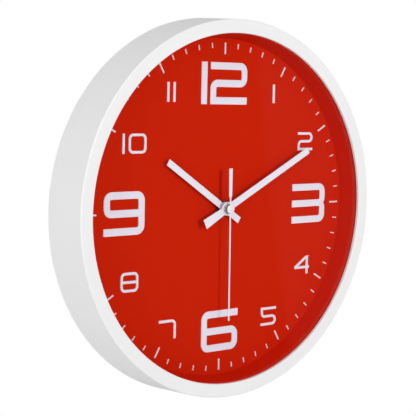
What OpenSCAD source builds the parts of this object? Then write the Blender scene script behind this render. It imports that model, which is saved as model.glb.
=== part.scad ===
// Quartz wall clock: a deep white rim around a sunk red dial with raised numerals.
// Every sub-part is drawn in the face frame: x to the right, y up the dial and z out
// of the wall. stand_up() then turns it to the world frame: +Z up, front facing -Y,
// with the origin on the wall, on the axis of the hands.

/* [Case] */
// Outside diameter of the rim at its front lip
rim_d = 300; // [280:1:400]
// How far the rim widens towards the wall, on each side
rim_flare = 2; // [0:0.5:4]
// Thickness of the rim's side wall
rim_wall = 2.4; // [1.8:0.1:3.2]
// Width of the front lip
lip_w = 10.8; // [10.6:0.1:16]
// Thickness of the front lip
lip_t = 2.6; // [2:0.1:4]
// Bevel on the lip's outer edge
lip_bevel = 0.9; // [0.4:0.1:1.6]
// Number of screws that close the case
screw_count = 6; // [4:1:8]

/* [Lens and dial] */
// Thickness of the clear lens
lens_t = 2; // [1.5:0.1:3]
// Thickness of the dial plate
dial_t = 1.5; // [1:0.1:2.5]
// Room for the hands between the dial and the lens
hand_room = 15.7; // [13.3:0.1:30]
// How far the coloured wall's foot stands inside the lip
wall_slope = 3.7; // [2:0.1:8]
// Thickness of the coloured wall
wall_t = 1.5; // [1:0.1:2.5]

/* [Numerals and ticks] */
// Height of the numerals and ticks above the dial
relief = 0.8; // [0.3:0.1:1.5]
// Height of the four large numerals
big_h = 33.4; // [28:0.2:38]
// Width of one large digit
big_w = 38.4; // [30:0.2:42]
// Width of the strokes of a large digit
big_stroke = 5.8; // [3:0.1:7]
// Distance from the coloured wall's foot to the large numerals
big_margin = 19; // [15:0.5:22]
// Height of the eight small numerals
small_h = 15.4; // [12:0.2:18]
// Width of one small digit
small_w = 17; // [13:0.2:19]
// Width of the strokes of a small digit
small_stroke = 2.2; // [1.6:0.1:3.2]
// Distance from the coloured wall's foot to the rows and columns of small numerals
small_margin = 35.5; // [32:0.5:40]
// Distance from the coloured wall's foot to the ticks
tick_margin = 3.4; // [2:0.1:5]
// Length of the twelve hour ticks
hour_tick_l = 9.1; // [6:0.1:11]
// Length of the minute ticks
minute_tick_l = 4.1; // [2:0.1:6]
// Width of an hour tick
hour_tick_w = 1.3; // [0.8:0.1:2.4]
// Width of a minute tick
minute_tick_w = 0.9; // [0.6:0.1:2.4]

/* [Hands] */
// Hours shown at rest
shown_h = 10; // [0:1:11]
// Minutes shown at rest
shown_m = 10; // [0:1:59]
// Seconds shown at rest
shown_s = 30; // [0:1:59]
// Angle by which the hour hand was fitted late, in degrees
hour_hand_late = 2; // [0:0.5:3]
// Angle by which the second hand was fitted late, in degrees
second_hand_late = 0.5; // [0:0.1:3]
// Reach of the hour hand
hour_hand_l = 70; // [55:1:90]
// Reach of the minute hand
minute_hand_l = 100.3; // [80:0.1:110]
// Reach of the second hand
second_hand_l = 90.4; // [70:0.2:115]
// Width of the hour hand
hour_hand_w = 5.4; // [3:0.1:8]
// Width of the minute hand at its tip
minute_hand_w = 5.4; // [3:0.1:8]
// Thickness of the three hands
hand_t = 0.5; // [0.3:0.1:0.8]

/* [Movement] */
// Width and height of the square movement
movement_w = 56; // [55:0.5:70]
// Thickness of the movement
movement_t = 15.8; // [15.8:0.1:20]
// Wall of the movement's two shells
shell_t = 1.2; // [0.8:0.1:1.6]
// Thread diameter of the bush that carries the movement
bush_d = 8; // [7:0.5:9]
// Width across the flats of the hex nut
nut_af = 12; // [11:0.5:14]
// Thickness of each gear wheel
wheel_t = 0.65; // [0.4:0.05:0.7]
// Radial clearance of the running fits
run_fit = 0.08; // [0.05:0.01:0.1]

/* [Hanger] */
// Diameter of the keyhole's entry
keyhole_d = 10; // [8:0.5:12]
// Width of the keyhole's slot
keyhole_slot_w = 5; // [4.5:0.5:6]
// Height of the keyhole's entry above the centre
keyhole_y = 70; // [60:1:100]

/* [Hidden] */
NUMERAL_NODES = [for (h = [1:12]) str("numeral_", h)];
$fn = 96;

// Colours
WHITE = [0.91, 0.91, 0.91];
RED = [0.76, 0.13, 0.05];
PALE = [0.88, 0.87, 0.92];
BRASS = [0.78, 0.62, 0.3];
STEEL = [0.66, 0.67, 0.7];
DARK = [0.08, 0.08, 0.09];
SHELL = [0.16, 0.16, 0.18];

// Heights above the wall, from the back forwards
gasket_t = 0.7;
movement_back_z = 1.7;
movement_front_z = movement_back_z + movement_t;
base_floor_z = movement_front_z - shell_t;
dial_back_z = movement_front_z + gasket_t;
dial_z = dial_back_z + dial_t;
lens_back_z = dial_z + hand_room;
lens_front_z = lens_back_z + lens_t;
case_depth = lens_front_z + lip_t;

// Case
rim_front_r = rim_d / 2;
rim_back_r = rim_front_r + rim_flare;
lip_inner_r = rim_front_r - lip_w;
wall_foot_r = lip_inner_r - wall_slope;
lip_inner_round = 0.5;
screw_r = 1.5;
boss_r = 3;
part_gap = 0.3;
wall_flange_w = 4;
function rim_outer_r(z) = rim_back_r + (rim_front_r - rim_back_r) * z / case_depth;
function rim_inner_r(z) = rim_outer_r(z) - rim_wall;
boss_ring_r = rim_inner_r(lens_front_z) - boss_r - 0.4;
lens_r = boss_ring_r - boss_r - part_gap;
dial_r = rim_inner_r(dial_z) - 2;
screw_angles = [for (i = [0:screw_count - 1]) 90 + (i + 0.5) * 360 / screw_count];

// Numerals: centre-line radius of the rounded corners, spacing and places. The small
// numerals stand in rows above and below and in columns at the sides, where the lines
// to their hours cross those rows and columns
big_corner = 4.3;
small_corner = 3.2;
pair_gap = 3.6;
eleven_pitch = 6;
hour_step = 30;
big_reach = wall_foot_r - big_margin;
small_reach = wall_foot_r - small_margin;
tick_outer_r = wall_foot_r - tick_margin;
row_y = small_reach - small_h / 2;
side_x = small_reach - small_w / 2;
side_row_y = side_x * tan(hour_step);
column_x = row_y * tan(hour_step) + 0.6;
low_drop = 1;

// Rear cover
cover_t = 2.5;
cover_back_z = 1.5;
cover_front_z = cover_back_z + cover_t;
cover_r = rim_inner_r(cover_front_z) - part_gap;
post_r = 4;
post_floor = 1.7;
head_r = 2.8;
head_t = 2;
head_z = dial_back_z - post_floor;
screw_l = 11.5;
window_w = movement_w + 4;
window_wall = 1.6;
cover_rib_t = 1.4;
cover_rib_h = 4;

// Shaft radii and the ends of the pipes
second_arbor_r = 0.5;
minute_pipe_r = 1.6;
hour_pipe_r = 2.5;
pivot_r = 0.3;
bush_r = bush_d / 2;
bush_flange_r = bush_r + 1.5;
bush_flange_t = shell_t - 0.5;
washer_t = 0.4;
nut_t = 1.8;
nut_z = dial_z + washer_t;
bush_top_z = nut_z + nut_t + 0.6;
dial_hole_r = bush_r + part_gap;

// Hands, each named by the height of the back of its plate
hour_hand_gap = 0.8;
minute_hand_step = 3.3;
second_hand_step = 3.6;
hour_hand_z = bush_top_z + hour_hand_gap;
minute_hand_z = hour_hand_z + minute_hand_step;
second_hand_z = minute_hand_z + second_hand_step;
hour_tail_l = 19;
hour_hub_r = 5.2;
minute_tail_l = 25.6;
minute_tail_w = 8;
minute_hub_r = 5.6;
minute_flare = 0.4;
second_w = 1.4;
second_tail_w = 3.6;
second_shoulder_w = 3.05;
second_tail_l = 32.5;
second_neck_l = 9;
second_shoulder_l = 10.4;
collet_flange_t = 0.4;
hour_neck_r = hour_pipe_r + 0.5;
hour_collet_r = hour_pipe_r + 1.1;
hour_pipe_end_z = hour_hand_z + hand_t + 0.4;
minute_neck_r = minute_pipe_r + 0.8;
minute_collet_r = minute_pipe_r + 2.4;
minute_head_t = 1.8;
minute_pipe_end_z = minute_hand_z + hand_t + minute_head_t - 0.2;
second_hub_r = 3.6;
second_hub_t = 0.8;
second_cap_t = 1.3;
second_arbor_end_z = second_hand_z + hand_t - 0.2;
second_angle = shown_s * 6 - second_hand_late;
minute_angle = (shown_m + shown_s / 60) * 6;
hour_angle = (shown_h + shown_m / 60 + shown_s / 3600) * 30 - hour_hand_late;

// Gear train: module, teeth and centre distance of each pair
fast_m = 0.3;
third_m = 0.26;
motion_m = 0.4;
rotor_teeth = 6;
fifth_teeth = 30;
fifth_leaves = 6;
second_teeth = 36;
second_leaves = 8;
third_teeth = 60;
third_leaves = 8;
centre_teeth = 64;
cannon_leaves = 12;
motion_teeth = 36;
motion_leaves = 10;
hour_teeth = 40;
knob_leaves = 12;
rotor_fifth_d = fast_m * (rotor_teeth + fifth_teeth) / 2;
fifth_second_d = fast_m * (fifth_leaves + second_teeth) / 2;
third_d = third_m * (second_leaves + third_teeth) / 2;
centre_m = 2 * third_d / (third_leaves + centre_teeth);
motion_d = motion_m * (cannon_leaves + motion_teeth) / 2;
hour_m = 2 * motion_d / (motion_leaves + hour_teeth);
knob_d = motion_m * (knob_leaves + motion_teeth) / 2;

// Directions of the lines of centres, and the arbors' places on the dial plane
function toward(angle, distance) = distance * [cos(angle), sin(angle)];
fifth_dir = -30;
rotor_dir = -10;
third_dir = 45;
motion_dir = 135;
knob_dir = 150;
centre_xy = [0, 0];
fifth_xy = toward(fifth_dir, fifth_second_d);
rotor_xy = fifth_xy + toward(rotor_dir, rotor_fifth_d);
third_xy = toward(third_dir, third_d);
motion_xy = toward(motion_dir, motion_d);
knob_xy = motion_xy + toward(knob_dir, knob_d);

// Gear layers, counted backwards from the movement's front shell
layer_gap = 1.2 - wheel_t;
function layer_z(n) = base_floor_z - 0.4 - wheel_t - n * (wheel_t + layer_gap);
hour_wheel_z = layer_z(0);
motion_wheel_z = layer_z(1);
centre_wheel_z = layer_z(2);
third_wheel_z = layer_z(3);
plate_t = 1;
plate_z = third_wheel_z - layer_gap - plate_t;
second_wheel_z = plate_z - 0.5 - wheel_t;
fifth_wheel_z = second_wheel_z - layer_gap - wheel_t;
magnet_t = 2;
magnet_z = fifth_wheel_z - 0.45 - magnet_t;
pivot_hole_r = pivot_r + run_fit;
pivot_depth = 0.6;
leaf_over = 0.1;
bearing_gap = 0.5;

// Motor
stator_t = 1;
stator_z = magnet_z + 0.5;
magnet_r = 2.4;
stator_hole_r = magnet_r + 0.4;
stator_ring_r = stator_hole_r + 1.4;
arm_w = 4.6;
coil_x = 21;
coil_low_y = -1;
coil_l = 19;
coil_r = 3.6;
core_w = 2;
flange_t = 1;
arm_top_y = coil_low_y + coil_l + 0.5 + arm_w;
arm_right_x = coil_x + core_w / 2 + 2.5;

// Movement shells, battery bay and knob
movement_corner_r = 3;
inner_half = movement_w / 2 - shell_t;
split_z = movement_back_z + movement_t / 2 - 0.1;
cover_floor_z = movement_back_z + 1;
battery_r = 7.25;
battery_body_l = 49.5;
battery_nub_l = 1;
battery_nub_r = 2.75;
battery_z = base_floor_z - 0.05 - battery_r;
bay_h = 2 * battery_r + 0.6;
bay_top_y = -inner_half + bay_h;
battery_y = -inner_half + bay_h / 2;
battery_x = -inner_half + 1.6 + battery_nub_l;
partition_t = 1;
pillar_r = 1.8;
knob_r = 4.5;
knob_t = 1.4;
knob_shaft_r = 1;
knob_pivot_r = 0.6;
knob_well_r = knob_r + 0.6;
knob_well_z = cover_floor_z + 0.9;
board_t = 1;
board_z = cover_floor_z + 0.5;
board_w = 24;
board_h = 13.5;
board_x = -8;
board_y = 12;
strip_t = 0.3;
strip_w = 2;

// ---------------------------------------------------------------- helpers

module stand_up() {
    rotate([90, 0, 0]) children();
}

// A disc or ring between two heights
module ring(outer_r, inner_r, z, t) {
    translate([0, 0, z]) linear_extrude(t) difference() {
        circle(outer_r);
        if (inner_r > 0) circle(inner_r);
    }
}

module at(xy, z = 0) {
    translate([xy.x, xy.y, z]) children();
}

module rounded_square(w, h, r) {
    square([w - 2 * r, h], center = true);
    square([w, h - 2 * r], center = true);
    for (x = [-1, 1], y = [-1, 1]) translate([x * (w / 2 - r), y * (h / 2 - r)]) circle(r, $fn = 32);
}

// A block given by its two corners
module block(low, high) {
    translate(low) cube(high - low);
}

// ---------------------------------------------------------------- case

module rim() {
    back = rim_inner_r(0);
    color(WHITE) {
        rotate_extrude($fn = 180) polygon([
            [back, 0],
            [rim_back_r, 0],
            [rim_outer_r(case_depth - lip_bevel), case_depth - lip_bevel],
            [rim_front_r - lip_bevel, case_depth],
            [lip_inner_r + lip_inner_round, case_depth],
            [lip_inner_r, case_depth - lip_inner_round],
            [lip_inner_r, lens_front_z],
            [rim_inner_r(lens_front_z), lens_front_z]
        ]);
        for (a = screw_angles) rotate(a) rim_boss();
    }
}

// Screw boss behind the lip, tied to the side wall by a web
module rim_boss() {
    boss_l = lens_front_z - dial_z;
    difference() {
        translate([0, 0, dial_z]) linear_extrude(boss_l) {
            translate([boss_ring_r, 0]) circle(boss_r, $fn = 48);
            translate([boss_ring_r, -1]) square([rim_inner_r(lens_front_z) - boss_ring_r + 0.3, 2]);
        }
        translate([boss_ring_r, 0, dial_z - 1]) cylinder(r = screw_r, h = 1 + screw_l, $fn = 48);
    }
}

module lens() {
    color([0.85, 0.9, 0.92, 0.3]) ring(lens_r, 0, lens_back_z, lens_t, $fn = 180);
}

// The coloured wall between the lens and the dial
module dial_wall() {
    head_in_r = lip_inner_r + 0.1;
    color(RED) rotate_extrude($fn = 180) polygon([
        [wall_foot_r, dial_z],
        [wall_foot_r + wall_flange_w, dial_z],
        [wall_foot_r + wall_flange_w, dial_z + wall_t],
        [wall_foot_r + wall_t + 0.4, dial_z + wall_t],
        [head_in_r + 0.6, lens_back_z - wall_t],
        [lens_r, lens_back_z - wall_t],
        [lens_r, lens_back_z],
        [head_in_r, lens_back_z]
    ]);
}

module dial() {
    color(RED) translate([0, 0, dial_back_z]) linear_extrude(dial_t) difference() {
        circle(dial_r, $fn = 180);
        circle(dial_hole_r);
        for (a = screw_angles) rotate(a) translate([boss_ring_r, 0]) circle(screw_r + 0.2, $fn = 48);
    }
}

module rear_cover() {
    color(WHITE) difference() {
        union() {
            ring(cover_r, 0, cover_back_z, cover_t, $fn = 180);
            for (a = screw_angles) rotate(a) translate([boss_ring_r, 0, cover_front_z])
                cylinder(r = post_r, h = dial_back_z - cover_front_z);
            translate([0, 0, cover_front_z]) linear_extrude(movement_front_z - cover_front_z)
                rounded_square(window_w + 2 * window_wall, window_w + 2 * window_wall, 4 + window_wall);
            for (a = screw_angles) rotate(a) cover_rib();
        }
        translate([0, 0, -1]) linear_extrude(case_depth) rounded_square(window_w, window_w, 4);
        for (a = screw_angles) rotate(a) translate([boss_ring_r, 0, 0]) {
            cylinder(r = head_r + 0.4, h = head_z);
            cylinder(r = screw_r + 0.2, h = case_depth);
        }
        keyhole();
    }
}

// Stiffening rib from the window's wall to a screw post
module cover_rib() {
    start = window_w / 2 + 1;
    translate([start, -cover_rib_t / 2, cover_front_z])
        cube([boss_ring_r - post_r + 0.5 - start, cover_rib_t, cover_rib_h]);
}

module keyhole() {
    translate([0, keyhole_y, -1]) linear_extrude(cover_front_z + 2) {
        circle(keyhole_d / 2);
        translate([-keyhole_slot_w / 2, 0]) square([keyhole_slot_w, keyhole_d]);
        translate([0, keyhole_d]) circle(keyhole_slot_w / 2, $fn = 48);
    }
}

module case_screws() {
    color(STEEL) for (a = screw_angles) rotate(a) translate([boss_ring_r, 0, head_z]) case_screw();
}

// Pan-head screw that points forward, with a cross recess
module case_screw() {
    recess = 1;
    difference() {
        translate([0, 0, -head_t]) rotate_extrude($fn = 48) polygon([
            [0, 0],
            [head_r * 0.7, 0],
            [head_r, head_t * 0.45],
            [head_r, head_t],
            [screw_r, head_t],
            [screw_r, head_t + screw_l - 1],
            [0.4, head_t + screw_l],
            [0, head_t + screw_l]
        ]);
        for (turn = [0, 90]) rotate(turn) translate([-1.6, -0.4, -head_t - 1]) cube([3.2, 0.8, 1 + recess]);
    }
}

// ---------------------------------------------------------------- numerals and ticks

// A flat stroke along a path with square corners; corner i is rounded to the
// centre-line radius radii[i], and 0 leaves it sharp
module stroke(path, radii, width) {
    last = len(path) - 1;
    for (i = [0:last - 1]) {
        span = path[i + 1] - path[i];
        run = norm(span);
        start = i == 0 ? 0 : radii[i];
        finish = i == last - 1 ? 0 : radii[i + 1];
        translate(path[i] + span * start / run) rotate(atan2(span.y, span.x))
            translate([0, -width / 2]) square([run - start - finish, width]);
    }
    for (i = [1:1:last - 1]) stroke_corner(path[i - 1], path[i], path[i + 1], radii[i], width);
}

module stroke_corner(before, corner, after, radius, width) {
    back = (before - corner) / norm(before - corner);
    on = (after - corner) / norm(after - corner);
    centre = corner + radius * (back + on);
    outer = radius + width / 2;
    if (radius == 0) translate(corner) square(width, center = true);
    if (radius > 0) translate(centre) intersection() {
        difference() {
            circle(outer, $fn = 64);
            circle(max(0.01, radius - width / 2), $fn = 64);
        }
        translate([corner.x > centre.x ? 0 : -outer, corner.y > centre.y ? 0 : -outer]) square(outer);
    }
}

// One digit of the given size, centred on the origin
module digit(value, w, h, width, radius) {
    right = (w - width) / 2;
    top = (h - width) / 2;
    edge = w / 2;
    if (value == 0) loop_stroke(right, top, width, radius);
    if (value == 1) square([width, h], center = true);
    if (value == 2)
        stroke([[-edge, top], [right, top], [right, 0], [-right, 0], [-right, -top], [edge, -top]],
            [0, radius, radius, radius, 0, 0], width);
    if (value == 3) for (side = [1, -1])
        stroke([[-edge, side * top], [right, side * top], [right, 0], [-edge, 0]],
            [0, radius, radius, 0], width);
    if (value == 4) four(w, h, width);
    if (value == 5)
        stroke([[edge, top], [-right, top], [-right, 0], [right, 0], [right, -top], [-edge, -top]],
            [0, 0, radius, radius, radius, 0], width);
    if (value == 6) six(edge, right, top, width, radius);
    if (value == 7) stroke([[-edge, top], [right, top], [right, -h / 2]], [0, radius, 0], width);
    if (value == 8) {
        loop_stroke(right, top, width, radius);
        square([2 * right, width], center = true);
    }
    if (value == 9) rotate(180) six(edge, right, top, width, radius);
}

module loop_stroke(right, top, width, radius) {
    stroke([[0, top], [-right, top], [-right, -top], [right, -top], [right, top], [0, top]],
        [0, radius, radius, radius, radius, 0], width);
}

module six(edge, right, top, width, radius) {
    stroke([[edge, top], [-right, top], [-right, -top], [right, -top], [right, 0], [-right, 0]],
        [0, radius, radius, radius, radius, 0], width);
}

// A four in one outline: an upright, a crossbar that passes it and a slanted stroke of
// the same width, with the triangle between them left open
module four(w, h, width) {
    right = 0.35 * w + width / 2;
    left = right - width;
    bar_top = -0.13 * h + width / 2;
    bar_low = bar_top - width;
    slant_top_x = left - 0.4;
    slant = atan2(h / 2 - bar_top, slant_top_x + w / 2);
    inner_x = -w / 2 + width / sin(slant);
    difference() {
        polygon([
            [-w / 2, bar_low],
            [left, bar_low],
            [left, -h / 2],
            [right, -h / 2],
            [right, bar_low],
            [w / 2, bar_low],
            [w / 2, bar_top],
            [right, bar_top],
            [right, h / 2],
            [slant_top_x, h / 2],
            [-w / 2, bar_top]
        ]);
        polygon([
            [inner_x, bar_top],
            [left, bar_top],
            [left, bar_top + (left - inner_x) * tan(slant)]
        ]);
    }
}

module numeral_shape(hour) {
    big_one_x = -big_w / 2 - pair_gap / 2;
    if (hour == 12) {
        translate([(big_stroke + pair_gap) / 2, big_reach - big_h / 2]) big_digit(2);
        translate([big_one_x, big_reach - big_h / 2]) big_digit(1);
    }
    if (hour == 3) translate([big_reach - big_w / 2, 0]) big_digit(3);
    if (hour == 6) translate([0, -big_reach + big_h / 2]) big_digit(6);
    if (hour == 9) translate([-big_reach + big_w / 2, 0]) big_digit(9);
    if (hour == 1) translate([column_x, row_y]) small_digit(1);
    if (hour == 11) for (side = [-1, 1])
        translate([-column_x + side * eleven_pitch / 2, row_y]) small_digit(1);
    if (hour == 10) {
        translate([-small_reach + small_stroke / 2, side_row_y]) small_digit(1);
        translate([-side_x + small_stroke + pair_gap, side_row_y]) small_digit(0);
    }
    if (hour == 2) translate([side_x, side_row_y]) small_digit(2);
    if (hour == 4) translate([side_x, -side_row_y]) small_digit(4);
    if (hour == 8) translate([-side_x, -side_row_y]) small_digit(8);
    if (hour == 5) translate([column_x, -row_y - low_drop]) small_digit(5);
    if (hour == 7) translate([-column_x, -row_y - low_drop]) small_digit(7);
}

module big_digit(value) {
    digit(value, big_w, big_h, big_stroke, big_corner);
}

module small_digit(value) {
    digit(value, small_w, small_h, small_stroke, small_corner);
}

module numeral(hour) {
    color(PALE) translate([0, 0, dial_z]) linear_extrude(relief) numeral_shape(hour);
}

module tick(angle, l, w) {
    rotate(angle) translate([tick_outer_r - l, -w / 2, dial_z]) cube([l, w, relief]);
}

module hour_ticks() {
    color(PALE) for (i = [0:11]) tick(i * 30, hour_tick_l, hour_tick_w);
}

module minute_ticks() {
    color(PALE) for (i = [0:59]) if (i % 5 != 0) tick(i * 6, minute_tick_l, minute_tick_w);
}

// ---------------------------------------------------------------- hands

// Turns a hand drawn along +y to its place; angles count clockwise from twelve
module pointing(angle) {
    rotate(-angle) children();
}

// A flat hand: reach and width at the tip, length and width of the tail, hub radius
module hand_plate(reach, tip_w, root_w, tail_l, tail_w, hub_r, hole_r) {
    difference() {
        union() {
            linear_extrude(hand_t) polygon([
                [-tip_w / 2, reach],
                [tip_w / 2, reach],
                [root_w / 2, 0],
                [tail_w / 2, -tail_l],
                [-tail_w / 2, -tail_l],
                [-root_w / 2, 0]
            ]);
            cylinder(r = hub_r, h = hand_t);
        }
        translate([0, 0, -1]) cylinder(r = hole_r, h = hand_t + 2);
    }
}

module hour_hand() {
    color(PALE) pointing(hour_angle) translate([0, 0, hour_hand_z])
        hand_plate(hour_hand_l, hour_hand_w, hour_hand_w, hour_tail_l, hour_hand_w, hour_hub_r, hour_neck_r);
}

module minute_hand() {
    color(PALE) pointing(minute_angle) translate([0, 0, minute_hand_z])
        hand_plate(minute_hand_l, minute_hand_w, minute_hand_w + minute_flare,
            minute_tail_l, minute_tail_w, minute_hub_r, minute_neck_r);
}

module hour_collet() {
    back_z = hour_hand_z - collet_flange_t;
    color(BRASS) rotate_extrude() polygon([
        [hour_pipe_r, back_z],
        [hour_collet_r, back_z],
        [hour_collet_r, hour_hand_z],
        [hour_neck_r, hour_hand_z],
        [hour_neck_r, hour_pipe_end_z],
        [hour_pipe_r, hour_pipe_end_z]
    ]);
}

module minute_collet() {
    back_z = minute_hand_z - collet_flange_t;
    face_z = minute_hand_z + hand_t;
    color(STEEL) rotate_extrude() polygon([
        [minute_pipe_r, back_z],
        [minute_collet_r, back_z],
        [minute_collet_r, minute_hand_z],
        [minute_neck_r, minute_hand_z],
        [minute_neck_r, face_z],
        [minute_collet_r, face_z],
        [minute_collet_r, face_z + minute_head_t],
        [minute_pipe_r, face_z + minute_head_t]
    ]);
}

// A thin pointer with a wide counterweight tail, on a round hub with a short tube
module second_hand() {
    half_w = second_w / 2;
    half_tail = second_tail_w / 2;
    half_shoulder = second_shoulder_w / 2;
    hub_z = second_hand_z + hand_t - second_hub_t;
    color(PALE) pointing(second_angle) difference() {
        union() {
            translate([0, 0, second_hand_z]) linear_extrude(hand_t) polygon([
                [-half_w, second_hand_l],
                [half_w, second_hand_l],
                [half_w, -second_neck_l],
                [half_shoulder, -second_shoulder_l],
                [half_tail, -second_tail_l],
                [-half_tail, -second_tail_l],
                [-half_shoulder, -second_shoulder_l],
                [-half_w, -second_neck_l]
            ]);
            ring(second_hub_r, 0, hub_z, second_hub_t);
            ring(second_arbor_r + 0.5, 0, hub_z - 0.3, second_hub_t);
        }
        arbor(second_arbor_r, hub_z - 1, second_arbor_end_z);
    }
}

// Domed cap in front of the second hand
module second_cap() {
    rise = second_cap_t * 0.45;
    side = second_cap_t - rise;
    dome_r = (second_hub_r * second_hub_r + rise * rise) / (2 * rise);
    color(WHITE) translate([0, 0, second_hand_z + hand_t]) intersection() {
        cylinder(r = second_hub_r, h = second_cap_t);
        translate([0, 0, side + rise - dome_r]) sphere(dome_r, $fn = 128);
    }
}

// ---------------------------------------------------------------- fixings on the dial

module hex_nut() {
    corner_r = nut_af / 2 / cos(30);
    chamfer = corner_r - nut_af / 2;
    color(DARK) translate([0, 0, nut_z]) difference() {
        intersection() {
            cylinder(r = corner_r, h = nut_t, $fn = 6);
            rotate_extrude() polygon([
                [0, 0],
                [corner_r, 0],
                [corner_r, nut_t - chamfer / 2],
                [nut_af / 2, nut_t],
                [0, nut_t]
            ]);
        }
        translate([0, 0, -1]) cylinder(r = bush_r, h = nut_t + 2);
    }
}

module dial_washer() {
    color(BRASS) ring(nut_af / 2 - 0.3, bush_r + 0.1, dial_z, washer_t);
}

module rubber_gasket() {
    color(DARK) ring(12, bush_r + 0.2, movement_front_z, gasket_t);
}

// Threaded brass bush, with its thread cut as plain grooves
module threaded_bush() {
    flange_z = base_floor_z;
    groove = 0.35;
    pitch = 0.75;
    grooves = floor((bush_top_z - 0.4 - dial_back_z) / pitch);
    color(BRASS) difference() {
        union() {
            ring(bush_flange_r, 0, flange_z, bush_flange_t);
            ring(bush_r, 0, flange_z, bush_top_z - flange_z);
        }
        translate([0, 0, flange_z - 1]) cylinder(r = hour_pipe_r + run_fit, h = bush_top_z);
        for (i = [0:grooves - 1]) translate([0, 0, dial_back_z + 0.4 + i * pitch]) rotate_extrude() polygon([
            [bush_r + 0.1, 0],
            [bush_r - groove, pitch * 0.3],
            [bush_r + 0.1, pitch * 0.6]
        ]);
    }
}

// ---------------------------------------------------------------- movement shells

module movement_outline() {
    rounded_square(movement_w, movement_w, movement_corner_r);
}

module movement_inside() {
    rounded_square(2 * inner_half, 2 * inner_half, movement_corner_r - shell_t);
}

// The wall that parts the battery bay from the works, notched at its two ends
module partition(z, t) {
    half = inner_half - 0.8;
    block([-half, bay_top_y, z], [half, bay_top_y + partition_t, z + t]);
}

pillar_places = [[-23.5, -8.2], [23.5, -8.2], [-23.5, 23.5], [24, 24]];

module movement_base() {
    wall_h = movement_front_z - split_z;
    color(SHELL) difference() {
        union() {
            difference() {
                translate([0, 0, split_z]) linear_extrude(wall_h) movement_outline();
                translate([0, 0, split_z - 1]) linear_extrude(base_floor_z - split_z + 1) movement_inside();
            }
            partition(split_z, base_floor_z - split_z);
            for (p = pillar_places) at(p) arbor(pillar_r, plate_z + plate_t, base_floor_z);
            for (side = [-1, 1]) translate([side * movement_w / 2, 0, split_z + 4.5]) catch_bump();
        }
        translate([0, 0, base_floor_z - 1]) cylinder(r = bush_flange_r, h = 1 + bush_flange_t);
        cylinder(r = bush_r, h = case_depth);
        for (p = [third_xy, motion_xy]) at(p) arbor(pivot_hole_r, base_floor_z - 1, base_floor_z + pivot_depth);
        at(knob_xy) arbor(knob_pivot_r + run_fit, base_floor_z - 1, base_floor_z + pivot_depth);
        translate([-inner_half, battery_y, battery_z]) rotate([0, 90, 0])
            cylinder(r = battery_r + 0.2, h = 2 * inner_half);
    }
}

// Ridge that a cover clip snaps behind
module catch_bump() {
    block([-0.6, -2.5, 0], [0.6, 2.5, 0.8]);
}

module movement_cover() {
    wall_h = split_z - movement_back_z;
    color(SHELL) difference() {
        union() {
            difference() {
                translate([0, 0, movement_back_z]) linear_extrude(wall_h) movement_outline();
                translate([0, 0, cover_floor_z]) linear_extrude(wall_h) movement_inside();
            }
            partition(movement_back_z, wall_h);
            at(centre_xy) arbor(1.2, cover_floor_z, second_wheel_z - bearing_gap);
            at(fifth_xy) arbor(0.8, cover_floor_z, fifth_wheel_z - bearing_gap);
            at(rotor_xy) arbor(1, cover_floor_z, magnet_z - bearing_gap);
            at(knob_xy, movement_back_z) cylinder(r = knob_well_r + 1, h = knob_well_z + 1 - movement_back_z);
            for (x = [board_x + 3, board_x + board_w - 3])
                at([x, board_y + 3]) arbor(1.2, cover_floor_z, board_z);
            for (side = [-1, 1]) scale([side, 1, 1]) cover_clip();
        }
        battery_opening();
        at(knob_xy, movement_back_z - 1) cylinder(r = knob_well_r, h = knob_well_z + 1 - movement_back_z);
        at(knob_xy) arbor(knob_shaft_r + run_fit, 0, case_depth);
        for (p = [centre_xy, fifth_xy, rotor_xy]) at(p) arbor(pivot_hole_r, cover_floor_z + 0.5, plate_z);
    }
}

module battery_opening() {
    half = inner_half - 0.6;
    block([-half, -inner_half + 0.3, movement_back_z - 1], [half, bay_top_y - 0.3, cover_floor_z + 1]);
}

// Spring clip on the cover's side that reaches over the base's catch
module cover_clip() {
    reach = split_z + 4.2;
    block([movement_w / 2 - 0.1, -3, movement_back_z + 3], [movement_w / 2 + 0.5, 3, split_z - 0.3]);
    block([movement_w / 2 + 0.1, -3, split_z - 0.3], [movement_w / 2 + 0.5, 3, reach]);
}

// Bridge between the going train and the motor, open round the coil
module middle_plate() {
    low = bay_top_y + partition_t + part_gap;
    half = inner_half - part_gap;
    under = plate_z - 1;
    over = plate_z + plate_t + 1;
    color("dimgray") difference() {
        translate([0, 0, plate_z]) linear_extrude(plate_t)
            rounded_square(2 * half, 2 * half, movement_corner_r - shell_t);
        block([-half - 1, -half - 1, under], [half + 1, low, over]);
        block([coil_x - coil_r - 0.6, coil_low_y - 1, under], [half + 1, coil_low_y + coil_l + 1, over]);
        at(centre_xy) arbor(1.7, under, over);
        at(knob_xy) arbor(knob_shaft_r + run_fit, under, over);
        for (p = [third_xy, motion_xy, fifth_xy, rotor_xy]) at(p) arbor(pivot_hole_r, under, over);
    }
}

// ---------------------------------------------------------------- motor

module stator() {
    low_y = rotor_xy.y;
    up_x = rotor_xy.x;
    color(STEEL) translate([0, 0, stator_z]) linear_extrude(stator_t) difference() {
        union() {
            at(rotor_xy) circle(stator_ring_r);
            translate([up_x, low_y - arm_w / 2]) square([arm_right_x - up_x, arm_w]);
            translate([up_x - arm_w / 2, low_y]) square([arm_w, arm_top_y - low_y]);
            translate([up_x - arm_w / 2, arm_top_y - arm_w]) square([arm_right_x - up_x + arm_w / 2, arm_w]);
        }
        at(rotor_xy) circle(stator_hole_r);
        for (a = [135, 315]) at(rotor_xy) rotate(a) translate([stator_hole_r, 0]) circle(0.35, $fn = 32);
    }
}

module coil_core() {
    low_y = rotor_xy.y - arm_w / 2 + 0.4;
    color(STEEL) block([coil_x - core_w / 2, low_y, stator_z + stator_t],
        [coil_x + core_w / 2, arm_top_y - 0.4, stator_z + 2 * stator_t]);
}

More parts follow.
